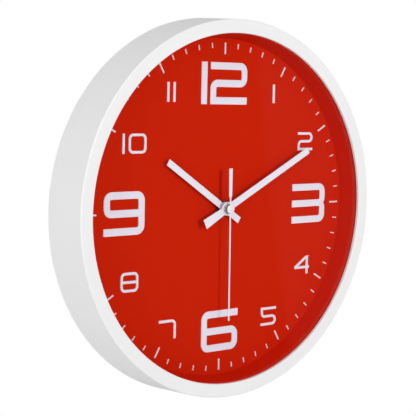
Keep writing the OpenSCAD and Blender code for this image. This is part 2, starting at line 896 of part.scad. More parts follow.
// Places a shape turned about the coil's own upright axis
module on_coil() {
    translate([coil_x, coil_low_y, stator_z + stator_t * 1.5]) rotate([-90, 0, 0]) children();
}

module coil_bobbin() {
    color("ivory") on_coil() difference() {
        union() {
            cylinder(r = core_w * 0.9, h = coil_l);
            for (y = [0, coil_l - flange_t]) translate([0, 0, y]) cylinder(r = coil_r, h = flange_t);
        }
        translate([-core_w / 2, -stator_t / 2, -1]) cube([core_w, stator_t, coil_l + 2]);
    }
}

module coil_winding() {
    color([0.72, 0.36, 0.16]) on_coil() translate([0, 0, flange_t]) difference() {
        cylinder(r = coil_r - 0.3, h = coil_l - 2 * flange_t);
        translate([0, 0, -1]) cylinder(r = core_w * 0.9, h = coil_l);
    }
}

module rotor_magnet() {
    color(DARK) at(rotor_xy) ring(magnet_r, pivot_r + 0.3, magnet_z, magnet_t);
}

// ---------------------------------------------------------------- gears

// Outline of a gear with four points to a tooth: the flanks run straight from the
// root circle to the tip circle, and are thin enough to leave the mesh free to turn
function gear_points(teeth, m, phase, tip, root, root_share, tip_share) = [
    for (i = [0:teeth - 1], corner = [
        [-root_share, -root],
        [-tip_share, tip],
        [tip_share, tip],
        [root_share, -root]
    ]) toward(phase + (i + corner[0]) * 360 / teeth, m * (teeth / 2 + corner[1]))
];

module wheel(teeth, m, phase, z, t) {
    translate([0, 0, z]) linear_extrude(t) polygon(gear_points(teeth, m, phase, 0.9, 1.25, 0.2, 0.08));
}

module pinion(teeth, m, phase, z, t) {
    translate([0, 0, z]) linear_extrude(t) polygon(gear_points(teeth, m, phase, 0.7, 1.35, 0.18, 0.08));
}

// Phase that puts gear b in mesh with gear a, when b lies in the given direction from a
function mesh_phase(teeth_a, phase_a, teeth_b, direction) =
    direction + 180 - 360 / teeth_b * (0.5 - (direction - phase_a) * teeth_a / 360);

fifth_leaf_phase = mesh_phase(second_teeth, 0, fifth_leaves, fifth_dir);
rotor_phase = mesh_phase(fifth_teeth, 0, rotor_teeth, rotor_dir);
third_phase = mesh_phase(second_leaves, 0, third_teeth, third_dir);
centre_phase = mesh_phase(third_leaves, 0, centre_teeth, third_dir + 180);
motion_phase = mesh_phase(cannon_leaves, 0, motion_teeth, motion_dir);
hour_phase = mesh_phase(motion_leaves, 0, hour_teeth, motion_dir + 180);
knob_phase = mesh_phase(motion_teeth, motion_phase, knob_leaves, knob_dir);

module arbor(r, from_z, to_z) {
    translate([0, 0, from_z]) cylinder(r = r, h = to_z - from_z, $fn = 48);
}

module rotor_pinion() {
    color(WHITE) at(rotor_xy) {
        pinion(rotor_teeth, fast_m, rotor_phase, fifth_wheel_z - leaf_over, wheel_t + 2 * leaf_over);
        arbor(pivot_r + 0.3, magnet_z, fifth_wheel_z);
        arbor(pivot_r, cover_floor_z + 0.7, plate_z + pivot_depth);
    }
}

module fifth_wheel() {
    color(WHITE) at(fifth_xy) {
        wheel(fifth_teeth, fast_m, 0, fifth_wheel_z, wheel_t);
        pinion(fifth_leaves, fast_m, fifth_leaf_phase, fifth_wheel_z + wheel_t,
            second_wheel_z + leaf_over - fifth_wheel_z);
        arbor(pivot_r, cover_floor_z + 0.7, plate_z + pivot_depth);
    }
}

module second_wheel() {
    leaf_top_z = third_wheel_z + wheel_t + leaf_over;
    color(WHITE) {
        wheel(second_teeth, fast_m, 0, second_wheel_z, wheel_t);
        pinion(second_leaves, third_m, 0, second_wheel_z + wheel_t, leaf_top_z - second_wheel_z - wheel_t);
        arbor(second_arbor_r, second_wheel_z - 0.3, second_arbor_end_z);
        arbor(pivot_r, cover_floor_z + 0.7, second_wheel_z);
    }
}

module third_wheel() {
    color(WHITE) at(third_xy) {
        wheel(third_teeth, third_m, third_phase, third_wheel_z, wheel_t);
        pinion(third_leaves, centre_m, 0, third_wheel_z + wheel_t,
            centre_wheel_z + leaf_over - third_wheel_z);
        arbor(pivot_r, plate_z + 0.2, base_floor_z + pivot_depth - 0.1);
    }
}

// The centre wheel, its cannon pinion and the pipe of the minute hand
module centre_wheel() {
    color(WHITE) difference() {
        union() {
            wheel(centre_teeth, centre_m, centre_phase, centre_wheel_z, wheel_t);
            pinion(cannon_leaves, motion_m, 0, centre_wheel_z + wheel_t,
                motion_wheel_z + leaf_over - centre_wheel_z);
            arbor(minute_pipe_r, centre_wheel_z, minute_pipe_end_z);
        }
        arbor(second_arbor_r + run_fit, centre_wheel_z - 1, case_depth);
    }
}

module motion_wheel() {
    color(WHITE) at(motion_xy) {
        wheel(motion_teeth, motion_m, motion_phase, motion_wheel_z, wheel_t);
        pinion(motion_leaves, hour_m, 0, motion_wheel_z + wheel_t, hour_wheel_z + leaf_over - motion_wheel_z);
        arbor(pivot_r + 0.4, plate_z + plate_t + 0.3, motion_wheel_z);
        arbor(pivot_r, plate_z + 0.2, base_floor_z + pivot_depth - 0.1);
    }
}

// The hour wheel and the pipe of the hour hand
module hour_wheel() {
    color(WHITE) difference() {
        union() {
            wheel(hour_teeth, hour_m, hour_phase, hour_wheel_z, wheel_t);
            arbor(hour_pipe_r, hour_wheel_z, hour_pipe_end_z);
        }
        arbor(minute_pipe_r + run_fit, hour_wheel_z - 1, case_depth);
    }
}

// Knurled setting knob with its shaft and pinion
module setting_knob() {
    knurls = 24;
    color("dimgray") at(knob_xy) {
        translate([0, 0, movement_back_z]) linear_extrude(knob_t) difference() {
            circle(knob_r);
            for (i = [0:knurls - 1]) rotate(i * 360 / knurls)
                translate([knob_r + 0.1, 0]) circle(0.35, $fn = 16);
        }
        arbor(knob_shaft_r, movement_back_z, motion_wheel_z + wheel_t);
        arbor(knob_pivot_r, motion_wheel_z, base_floor_z + pivot_depth - 0.1);
        pinion(knob_leaves, motion_m, knob_phase, motion_wheel_z - leaf_over, wheel_t + 2 * leaf_over);
    }
}

// ---------------------------------------------------------------- circuit and battery

module circuit_board() {
    color([0.1, 0.35, 0.16]) translate([board_x, board_y, board_z]) cube([board_w, board_h, board_t]);
}

// Round blob that seals the chip
module chip() {
    blob_r = 2.6;
    blob_h = 0.9;
    ball_r = (blob_r * blob_r + blob_h * blob_h) / (2 * blob_h);
    color(DARK) translate([board_x + 8, board_y + 5.5, board_z + board_t]) intersection() {
        cylinder(r = blob_r, h = blob_h);
        translate([0, 0, blob_h - ball_r]) sphere(ball_r);
    }
}

module crystal() {
    can_r = 1;
    color(STEEL) translate([board_x + 9, board_y + 10.5, board_z + board_t + can_r])
        rotate([0, 90, 0]) cylinder(r = can_r, h = 6);
}

module battery() {
    translate([battery_x, battery_y, battery_z]) rotate([0, 90, 0]) {
        color(STEEL) translate([0, 0, -battery_nub_l]) cylinder(r = battery_nub_r, h = battery_nub_l + 1);
        color("gray") rotate_extrude() polygon([
            [0, 0],
            [battery_r - 0.5, 0],
            [battery_r, 0.5],
            [battery_r, battery_body_l - 0.5],
            [battery_r - 0.5, battery_body_l],
            [0, battery_body_l]
        ]);
    }
}

// Spring strip of one battery end: a pad on the bay's wall, a rail up that wall and a
// run across to the board. side is -1 or 1, and end_x is where the run meets the board
module contact_strip(side, run_y, end_x) {
    outer_x = side * inner_half;
    inner_x = outer_x - side * strip_t;
    low_x = min(outer_x, inner_x);
    high_x = max(outer_x, inner_x);
    board_top_z = board_z + board_t;
    block([low_x, battery_y - 4, board_z + 2.2], [high_x, battery_y + 4, battery_z + 4]);
    block([low_x, battery_y + 3, board_top_z], [high_x, run_y + strip_w, board_top_z + strip_w]);
    block([min(outer_x, end_x), run_y, board_top_z],
        [max(outer_x, end_x), run_y + strip_w, board_top_z + strip_t]);
}

// Strip at the battery's positive end, with its pressed boss
module contact_positive() {
    boss_x = -inner_half + strip_t / 2;
    color(BRASS) {
        contact_strip(-1, board_y + 6.5, board_x + 2);
        translate([boss_x, battery_y, battery_z]) rotate([0, 90, 0])
            cylinder(r = 2, h = battery_x - battery_nub_l - boss_x);
    }
}

// Strip and pressed coil spring at the battery's negative end
module contact_negative() {
    end_x = battery_x + battery_body_l;
    spring_r = 2.4;
    wire_r = 0.5;
    span = inner_half - strip_t - end_x + 0.1 - 2 * wire_r;
    turns = 1 + ceil(span / (1.7 * wire_r));
    color(BRASS) {
        contact_strip(1, board_y + board_h - 2.6, board_x + board_w - 2);
        for (i = [0:turns - 1])
            translate([end_x + wire_r + span * i / (turns - 1), battery_y, battery_z]) rotate([0, 90, 0])
                rotate_extrude() translate([spring_r, 0]) circle(wire_r, $fn = 24);
    }
}

// ---------------------------------------------------------------- the clock

stand_up() {
    rim();
    lens();
    dial_wall();
    dial();
    hour_ticks();
    minute_ticks();
    for (hour = [1:12]) numeral(hour);
    rear_cover();
    case_screws();
    hour_hand();
    hour_collet();
    minute_hand();
    minute_collet();
    second_hand();
    second_cap();
    hex_nut();
    dial_washer();
    threaded_bush();
    rubber_gasket();
    movement_base();
    movement_cover();
    middle_plate();
    stator();
    coil_core();
    coil_bobbin();
    coil_winding();
    rotor_magnet();
    rotor_pinion();
    fifth_wheel();
    second_wheel();
    third_wheel();
    centre_wheel();
    motion_wheel();
    hour_wheel();
    setting_knob();
    circuit_board();
    chip();
    crystal();
    battery();
    contact_positive();
    contact_negative();
}
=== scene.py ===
"""Looks of a quartz wall clock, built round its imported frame.

The clock hangs in the row frame: +Z is up, the dial faces -Y and the wall is the plane
y = 0. Shapes are worked out in the face frame, in millimetres: x to the right, y up the
dial and z out of the wall. ``to_world`` turns them to the row frame, in metres.
"""

import logging
import math
from dataclasses import dataclass, field
from enum import Enum
from typing import Callable, Optional, Sequence, Union

import bmesh
import bpy
import numpy as np
from mathutils import Matrix, Vector


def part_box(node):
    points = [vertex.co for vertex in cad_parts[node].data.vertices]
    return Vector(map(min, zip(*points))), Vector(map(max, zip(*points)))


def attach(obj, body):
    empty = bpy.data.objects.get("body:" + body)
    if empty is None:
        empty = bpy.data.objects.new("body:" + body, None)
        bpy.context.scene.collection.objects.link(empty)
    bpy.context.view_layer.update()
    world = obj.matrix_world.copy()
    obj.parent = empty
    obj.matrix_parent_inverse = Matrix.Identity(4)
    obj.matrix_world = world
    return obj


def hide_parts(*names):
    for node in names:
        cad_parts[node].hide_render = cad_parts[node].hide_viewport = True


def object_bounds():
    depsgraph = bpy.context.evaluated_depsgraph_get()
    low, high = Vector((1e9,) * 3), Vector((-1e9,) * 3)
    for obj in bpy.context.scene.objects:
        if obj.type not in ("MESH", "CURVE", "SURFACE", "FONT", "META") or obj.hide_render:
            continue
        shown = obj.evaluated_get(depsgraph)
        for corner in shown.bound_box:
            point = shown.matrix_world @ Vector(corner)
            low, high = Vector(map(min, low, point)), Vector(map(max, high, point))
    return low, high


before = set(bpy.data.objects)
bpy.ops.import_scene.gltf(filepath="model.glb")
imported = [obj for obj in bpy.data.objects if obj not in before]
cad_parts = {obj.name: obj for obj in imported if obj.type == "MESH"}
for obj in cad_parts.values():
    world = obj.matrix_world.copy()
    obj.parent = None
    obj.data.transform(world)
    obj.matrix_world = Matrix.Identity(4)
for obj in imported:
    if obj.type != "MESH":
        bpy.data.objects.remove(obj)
CAD_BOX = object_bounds()

LOG = logging.getLogger("wall_clock")
MM = 0.001
SHARP_DEG = 32.0
Colour = tuple[float, float, float]
Piece = bpy.types.Object
Socket = bpy.types.NodeSocket


# ------------------------------------------------------------------ shapes


def to_world(points: np.ndarray) -> np.ndarray:
    """Turns face-frame points in millimetres to the row frame in metres.

    Args:
        points: an array whose last axis is x, y, z in the face frame.

    Returns:
        The same points as x, -z, y, scaled to metres.
    """
    x, y, z = np.moveaxis(np.asarray(points, float), -1, 0)
    return np.stack([x, -z, y], axis=-1) * MM


def new_object(name: str, data: bpy.types.ID) -> Piece:
    """Makes an object and puts it in the scene.

    Args:
        name: the object's name.
        data: its mesh, lamp or camera.

    Returns:
        The object, at the origin.
    """
    made = bpy.data.objects.new(name, data)
    bpy.context.scene.collection.objects.link(made)
    return made


def grid_quads(rows: int, cols: int, wrap_rows: bool, wrap_cols: bool) -> np.ndarray:
    """Quads that join a grid of rows x cols points, row after row.

    Args:
        rows: number of rows of points.
        cols: number of points in a row.
        wrap_rows: joins the last row to the first.
        wrap_cols: joins the last column to the first.

    Returns:
        An integer array with four point numbers to a quad.
    """
    i = np.arange(rows if wrap_rows else rows - 1)[:, None]
    j = np.arange(cols if wrap_cols else cols - 1)[None, :]
    i2, j2 = (i + 1) % rows, (j + 1) % cols
    corners = [i * cols + j, i2 * cols + j, i2 * cols + j2, i * cols + j2]
    return np.stack([c + 0 * i + 0 * j for c in corners], axis=-1).reshape(-1, 4)


def new_piece(name: str, points: np.ndarray, faces: Sequence) -> Piece:
    """Makes a mesh piece from face-frame points, merged, closed and facing outwards.

    Args:
        name: the piece's name.
        points: points in the face frame, in millimetres, in any grid shape.
        faces: the faces as point numbers.

    Returns:
        The new object, linked to the scene.
    """
    mesh = bpy.data.meshes.new(name)
    world = to_world(points).reshape(-1, 3)
    mesh.from_pydata(world.tolist(), [], [list(map(int, f)) for f in faces])
    clean_mesh(mesh)
    return new_object(name, mesh)


def shade_smooth(mesh: bpy.types.Mesh, sharp_deg: float) -> None:
    """Shades a mesh smooth, except at edges that bend more than sharp_deg."""
    mesh.polygons.foreach_set("use_smooth", np.ones(len(mesh.polygons), bool))
    mesh.set_sharp_from_angle(angle=math.radians(sharp_deg))


def clean_mesh(mesh: bpy.types.Mesh, merge: float = 1e-7) -> None:
    """Merges doubles, turns all faces outwards and shades the mesh smooth.

    Args:
        mesh: the mesh to clean.
        merge: points nearer than this many metres become one.
    """
    work = bmesh.new()
    work.from_mesh(mesh)
    bmesh.ops.remove_doubles(work, verts=work.verts, dist=merge)
    bmesh.ops.recalc_face_normals(work, faces=work.faces)
    work.to_mesh(mesh)
    work.free()
    shade_smooth(mesh, SHARP_DEG)


def revolve(name: str, profile: np.ndarray, segments: int,
            centre: Sequence[float] = (0, 0)) -> Piece:
    """Turns a closed profile about an axis along z.

    A point (r, h) of the profile and an angle t give the point
    (cx + r cos t, cy + r sin t, h).

    Args:
        name: the piece's name.
        profile: radius and height of each point, in order round the closed outline.
        segments: number of steps in a full turn.
        centre: where the axis meets the plane of the dial.

    Returns:
        The new piece.
    """
    turn = np.linspace(0, 2 * np.pi, segments, endpoint=False)[:, None]
    r, h = np.maximum(profile[:, 0], 0)[None, :], profile[:, 1][None, :]
    x, y = centre[0] + r * np.cos(turn), centre[1] + r * np.sin(turn)
    points = np.stack([x, y, h + 0 * turn], axis=-1)
    return new_piece(name, points, grid_quads(segments, len(profile), True, True))


def fillet(corners: Sequence[Sequence[float]], steps: int = 4, closed: bool = True) -> np.ndarray:
    """Rounds the corners of an outline.

    Each corner is given as (x, y, radius). The arc touches both sides at a distance of
    radius / tan(half the corner's angle). With a and b from the arc's centre to the two
    touching points and w the angle between them, its points at shares s from 0 to 1 are
    centre + (a sin((1 - s) w) + b sin(s w)) / sin(w).

    Args:
        corners: the outline's corners with their radii; a radius of 0 stays sharp.
        steps: number of steps in each rounded corner.
        closed: the outline joins its last corner to its first.

    Returns:
        The points of the rounded outline.
    """
    data = np.asarray(corners, float)
    points: list[np.ndarray] = []
    count = len(data)
    for i, (x, y, radius) in enumerate(data):
        corner = np.array([x, y])
        if radius <= 0 or (not closed and i in (0, count - 1)):
            points.append(corner[None, :])
            continue
        before = data[(i - 1) % count, :2] - corner
        after = data[(i + 1) % count, :2] - corner
        before, after = before / np.linalg.norm(before), after / np.linalg.norm(after)
        half = math.acos(float(np.clip(before @ after, -1, 1))) / 2
        middle = (before + after) / np.linalg.norm(before + after)
        centre = corner + middle * radius / math.sin(half)
        start = corner + before * radius / math.tan(half) - centre
        end = corner + after * radius / math.tan(half) - centre
        share = np.linspace(0, 1, steps + 1)[:, None]
        whole = np.pi - 2 * half
        arc = (np.sin((1 - share) * whole) * start + np.sin(share * whole) * end) / math.sin(whole)
        points.append(centre + arc)
    return np.concatenate(points)


@dataclass(frozen=True)
class Section:
    """Cross-section of a raised bar: upright sides and a rounded top edge.

    Attributes:
        height: height of the bar, in millimetres.
        bevel: radius of the rounded top edge.
        foot: radius of the rounded bottom edge, 0 where the bar stands on something.
        steps: number of steps in a rounded edge.
    """

    height: float
    bevel: float
    foot: float = 0.0
    steps: int = 4

    def side(self) -> np.ndarray:
        """One side of the section, with quarter circles for its rounded edges.

        Returns:
            Inset from the outline and height of each point, from the bottom up.
        """
        turn = np.linspace(0, np.pi / 2, self.steps + 1)
        drop = self.bevel * (1 - np.sin(turn))
        top = np.stack([self.bevel * (1 - np.cos(turn)), self.height - drop], -1)
        if self.foot <= 0:
            return np.concatenate([[[0.0, 0.0]], top])
        low = np.stack([self.foot * (1 - np.sin(turn)), self.foot * (1 - np.cos(turn))], -1)
        return np.concatenate([low, top])


@dataclass
class Bar:
    """A raised bar that follows a centre line, with square, bevelled ends.

    Attributes:
        line: points of the centre line, in millimetres.
        across: for each point, the sideways vector for one millimetre of half width.
        half_width: half width of the bar, one number or one for each point.
        closed: the centre line is a loop.
    """

    line: np.ndarray
    across: np.ndarray
    half_width: Union[float, np.ndarray]
    closed: bool = False

    @staticmethod
    def along(corners: Sequence[Sequence[float]], width: float, closed: bool = False,
              cuts: Sequence[Optional[Sequence[float]]] = (None, None)) -> "Bar":
        """A bar of even width along a line with rounded corners.

        The sideways vector at a point is the line's normal there, lengthened at a sharp
        corner so that the two sides meet in a mitre.

        Args:
            corners: the line's corners as (x, y, radius).
            width: width of the bar.
            closed: the line is a loop.
            cuts: directions along which the two ends are cut, or None for square ends.

        Returns:
            The bar.
        """
        line = fillet(corners, steps=10, closed=closed)
        keep = np.linalg.norm(line - np.roll(line, 1, axis=0), axis=1) > 1e-6
        line = line[keep] if closed else line[np.r_[True, keep[1:]]]
        ahead = np.roll(line, -1, axis=0) - line
        behind = line - np.roll(line, 1, axis=0)
        if not closed:
            ahead[-1], behind[0] = behind[-1], ahead[0]
        ahead /= np.linalg.norm(ahead, axis=1, keepdims=True)
        behind /= np.linalg.norm(behind, axis=1, keepdims=True)
        middle = ahead + behind
        middle /= np.linalg.norm(middle, axis=1, keepdims=True)
        normal = np.stack([middle[:, 1], -middle[:, 0]], -1)
        side = np.stack([ahead[:, 1], -ahead[:, 0]], -1)
        across = normal / np.sum(normal * side, axis=1, keepdims=True)
        for end, cut in zip((0, -1), cuts):
            if cut is not None:
                across[end] = np.asarray(cut, float) / float(np.dot(cut, side[end]))
        return Bar(line, across, width / 2, closed)

    def surface(self, section: Section, base: float) -> tuple[np.ndarray, np.ndarray]:
        """The bar's closed surface.

        Row i and column j of the grid give line[i] + across[i] * (half_width - inset_j),
        at the height of column j; at an open end the row also draws back by the inset,
        so that the end is bevelled too.

        Args:
            section: the cross-section.
            base: height of the bar's foot above the wall.

        Returns:
            The points and the faces.
        """
        side = section.side()
        inset = np.r_[side[:, 0], side[::-1, 0]][None, :]
        sign = np.r_[np.ones(len(side)), -np.ones(len(side))][None, :]
        height = np.r_[side[:, 1], side[::-1, 1]][None, :] + base
        half = np.broadcast_to(np.asarray(self.half_width, float), len(self.line))[:, None]
        offset = (half - inset) * sign
        flat = self.line[:, None, :] + self.across[:, None, :] * offset[..., None]
        if not self.closed:
            for end, inner in ((0, 1), (-1, -2)):
                inwards = self.line[inner] - self.line[end]
                flat[end] += inset[0][:, None] * inwards / np.linalg.norm(inwards)
        heights = np.broadcast_to(height[..., None], flat.shape[:2] + (1,))
        points = np.concatenate([flat, heights], -1)
        rows, cols = points.shape[:2]
        faces = grid_quads(rows, cols, self.closed, True)
        if not self.closed:
            low, k = np.arange(len(side) - 1), cols - 1
            cap = np.stack([low, low + 1, k - low - 1, k - low], -1)
            faces = np.concatenate([faces, cap, cap[:, ::-1] + (rows - 1) * cols])
        return points.reshape(-1, 3), faces


def bar_piece(name: str, bars: Sequence[Bar], section: Section, base: float) -> Piece:
    """One piece from several bars, merged where they cross.

    Args:
        name: the piece's name.
        bars: the bars.
        section: their cross-section.
        base: height of their foot above the wall.

    Returns:
        The new piece.
    """
    parts = [new_piece(name, *bar.surface(section, base)) for bar in bars]
    for extra in parts[1:]:
        combine(parts[0], extra, Cut.UNION)
    parts[0].name = name
    return parts[0]


class Cut(Enum):
    """How one solid changes another."""

    UNION = "UNION"
    DIFFERENCE = "DIFFERENCE"


def combine(piece: Piece, tool: Piece, cut: Cut) -> None:
    """Applies a boolean of tool to piece and removes tool.

    Args:
        piece: the solid that changes.
        tool: the solid that is added or taken away.
        cut: which of the two.
    """
    modifier = piece.modifiers.new("cut", "BOOLEAN")
    modifier.operation = cut.value
    modifier.solver = "MANIFOLD"
    modifier.object = tool
    apply_modifiers(piece)
    bpy.data.objects.remove(tool)
    clean_mesh(piece.data, merge=1e-6)


def apply_modifiers(piece: Piece) -> None:
    """Makes the result of a piece's modifiers its mesh.

    Args:
        piece: the piece, left with no modifiers.
    """
    graph = bpy.context.evaluated_depsgraph_get()
    mesh = bpy.data.meshes.new_from_object(piece.evaluated_get(graph))
    piece.modifiers.clear()
    old, piece.data = piece.data, mesh
    bpy.data.meshes.remove(old)


def softened(node: str, width: float) -> Piece:
    """A copy of a CAD node with its sharp edges rounded.

    Args:
        node: the CAD node's name.
        width: width of the rounded edges, in millimetres.

    Returns:
        The new piece, named after the node, which it replaces.
    """
    flat_deg, edge_deg, edge_steps = 0.6, 35.0, 2
    piece = new_object(node + "_shell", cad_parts[node].data.copy())
    work = bmesh.new()
    work.from_mesh(piece.data)
    bmesh.ops.remove_doubles(work, verts=work.verts, dist=2e-6)
    bmesh.ops.dissolve_limit(work, angle_limit=math.radians(flat_deg),
                             verts=work.verts, edges=work.edges)
    work.to_mesh(piece.data)
    work.free()
    bevel = piece.modifiers.new("edges", "BEVEL")
    bevel.width = width * MM
    bevel.segments = edge_steps
    bevel.limit_method = "ANGLE"
    bevel.angle_limit = math.radians(edge_deg)
    bevel.use_clamp_overlap = True
    bevel.miter_outer = "MITER_ARC"
    apply_modifiers(piece)
    piece.data.materials.clear()
    shade_smooth(piece.data, edge_deg)
    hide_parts(node)
    return piece


# ------------------------------------------------------------------ shader building blocks


class Nodes:
    """A small helper that adds nodes to one tree, left to right."""

    spacing = 190

    def __init__(self, tree: bpy.types.NodeTree) -> None:
        """Starts at the left of an empty tree."""
        self.tree = tree
        self.column = 0

    def add(self, kind: str, links: Optional[dict] = None, **settings: object) -> bpy.types.Node:
        """Adds a node.

        Args:
            kind: the node's type name.
            links: input name or number to a socket that feeds it, or to a plain value.
            settings: properties of the node.

        Returns:
            The node.
        """
        node = self.tree.nodes.new(kind)
        node.location = (self.column * self.spacing, 0)
        self.column += 1
        for key, value in settings.items():
            setattr(node, key, value)
        for key, value in (links or {}).items():
            if isinstance(value, bpy.types.NodeSocket):
                self.tree.links.new(value, node.inputs[key])
            else:
                node.inputs[key].default_value = value
        return node

    def math(self, operation: str, a: object, b: object = 0.0, clamp: bool = False) -> Socket:
        """The result of one Math node."""
        node = self.add("ShaderNodeMath", {0: a, 1: b}, operation=operation, use_clamp=clamp)
        return node.outputs[0]

    def mix(self, factor: object, a: object, b: object) -> Socket:
        """The result of one colour Mix node."""
        return self.add("ShaderNodeMix", {0: factor, 6: a, 7: b}, data_type="RGBA").outputs[2]

    def mix_shader(self, factor: Socket, a: Socket, b: Socket) -> Socket:
        """The result of one Mix Shader node."""
        return self.add("ShaderNodeMixShader", {0: factor, 1: a, 2: b}).outputs[0]

    def smooth_step(self, value: Socket, start: float, end: float, low: float,
                    high: float) -> Socket:
        """Runs smoothly from low to high as value goes from start to end."""
        links = {"Value": value, "From Min": start, "From Max": end, "To Min": low, "To Max": high}
        return self.add("ShaderNodeMapRange", links, interpolation_type="SMOOTHSTEP").outputs[0]

    def noise(self, place: Socket, scale: object, detail: float = 3.0,
              roughness: float = 0.5) -> Socket:
        """The value of one Noise Texture node."""
        links = {"Vector": place, "Scale": scale, "Detail": detail, "Roughness": roughness}
        return self.add("ShaderNodeTexNoise", links).outputs[0]


def empty_material(name: str) -> tuple[bpy.types.Material, Nodes]:
    """Makes a material with no nodes yet.

    Args:
        name: the material's name.

    Returns:
        The material and the helper that adds its nodes.
    """
    material = bpy.data.materials.new(name)
    material.use_nodes = True
    material.node_tree.nodes.clear()
    return material, Nodes(material.node_tree)


def make_group(name: str, inputs: dict[str, float], outputs: Sequence[str],
               build: Callable[[Nodes, dict], dict]) -> bpy.types.NodeTree:
    """Makes a shader node group once, with number sockets.

    Args:
        name: the group's name.
        inputs: socket name to its default value.
        outputs: names of the output sockets.
        build: given the helper and the input sockets by name, returns the outputs' sockets.

    Returns:
        The group.
    """
    if name in bpy.data.node_groups:
        return bpy.data.node_groups[name]
    tree = bpy.data.node_groups.new(name, "ShaderNodeTree")
    number = "NodeSocketFloat"
    for key, value in inputs.items():
        socket = tree.interface.new_socket(name=key, in_out="INPUT", socket_type=number)
        socket.default_value = value
    for key in outputs:
        tree.interface.new_socket(name=key, in_out="OUTPUT", socket_type=number)
    nodes = Nodes(tree)
    start = nodes.add("NodeGroupInput")
    made = build(nodes, {key: start.outputs[key] for key in inputs})
    nodes.add("NodeGroupOutput", {key: made[key] for key in outputs})
    return tree


def object_place(nodes: Nodes) -> Socket:
    """The piece's own coordinates, in metres."""
    return nodes.add("ShaderNodeTexCoord").outputs["Object"]


def moulded_skin() -> bpy.types.NodeTree:
    """Skin of moulded plastic or sprayed paint: orange peel, fine grain and handling marks.

    Returns:
        A group that puts out a height for Bump, a tone around 0.5 and a smudge mask.
    """

    def build(nodes: Nodes, given: dict) -> dict:
        """Adds the group's nodes.

        Args:
            nodes: the helper.
            given: the group's input sockets by name.

        Returns:
            The sockets to put out, by name.
        """
        place = object_place(nodes)
        peel = nodes.noise(place, given["Peel scale"], 2.0)
        grain = nodes.noise(place, given["Grain scale"], 4.0, 0.6)
        height = nodes.math("ADD", nodes.math("MULTIPLY", peel, given["Peel"]),
                            nodes.math("MULTIPLY", grain, given["Grain"]))
        tone = nodes.noise(place, given["Tone scale"], 3.0)
        smudge = nodes.noise(place, given["Smudge scale"], 5.0, 0.62)
        raised = nodes.math("SUBTRACT", smudge, given["Smudge start"], clamp=True)
        shaped = nodes.math("MULTIPLY", raised, given["Smudge gain"], clamp=True)
        return {"Height": height, "Tone": tone, "Smudge": shaped}

    return make_group(
        "moulded_skin",
        {"Peel scale": 180.0, "Peel": 0.5, "Grain scale": 2400.0, "Grain": 0.2,
         "Tone scale": 9.0, "Smudge scale": 30.0, "Smudge start": 0.48, "Smudge gain": 5.0},
        ("Height", "Tone", "Smudge"),
        build,
    )


def turned_metal() -> bpy.types.NodeTree:
    """Fine turning rings and plating variation of machined metal.

    Returns:
        A group that puts out a height for Bump and a mask of brighter and duller patches.
    """

    def build(nodes: Nodes, given: dict) -> dict:
        """Adds the group's nodes.

        Args:
            nodes: the helper.
            given: the group's input sockets by name.

        Returns:
            The sockets to put out, by name.
        """
        place = object_place(nodes)
        stretched = nodes.add("ShaderNodeMapping", {"Vector": place, "Scale": (1.0, 24.0, 1.0)})
        streaks = nodes.noise(stretched.outputs[0], given["Streak scale"], 3.0, 0.7)
        patches = nodes.noise(place, given["Patch scale"], 4.0)
        return {"Height": streaks, "Patches": patches}

    inputs = {"Streak scale": 900.0, "Patch scale": 120.0}
    return make_group("turned_metal", inputs, ("Height", "Patches"), build)


def painted_edge_highlight() -> bpy.types.NodeTree:
    """Where a surface bends sharply: a painted highlight on the bevelled edge of a raised shape.

    Returns:
        A group that puts out a mask, 1 on the bends and 0 on the flats.
    """

    def build(nodes: Nodes, given: dict) -> dict:
        """Adds the group's nodes.

        Args:
            nodes: the helper.
            given: the group's input sockets by name.

        Returns:
            The sockets to put out, by name.
        """
        shape = nodes.add("ShaderNodeNewGeometry")
        bent = nodes.math("SUBTRACT", shape.outputs["Pointiness"], given["Start"], clamp=True)
        return {"Mask": nodes.math("MULTIPLY", bent, given["Gain"], clamp=True)}

    return make_group("painted_edge_highlight", {"Start": 0.52, "Gain": 12.0}, ("Mask",), build)


class Surface(Enum):
    """Which shader effect a finish is built on."""

    MOULDED = "moulded"
    TURNED = "turned"


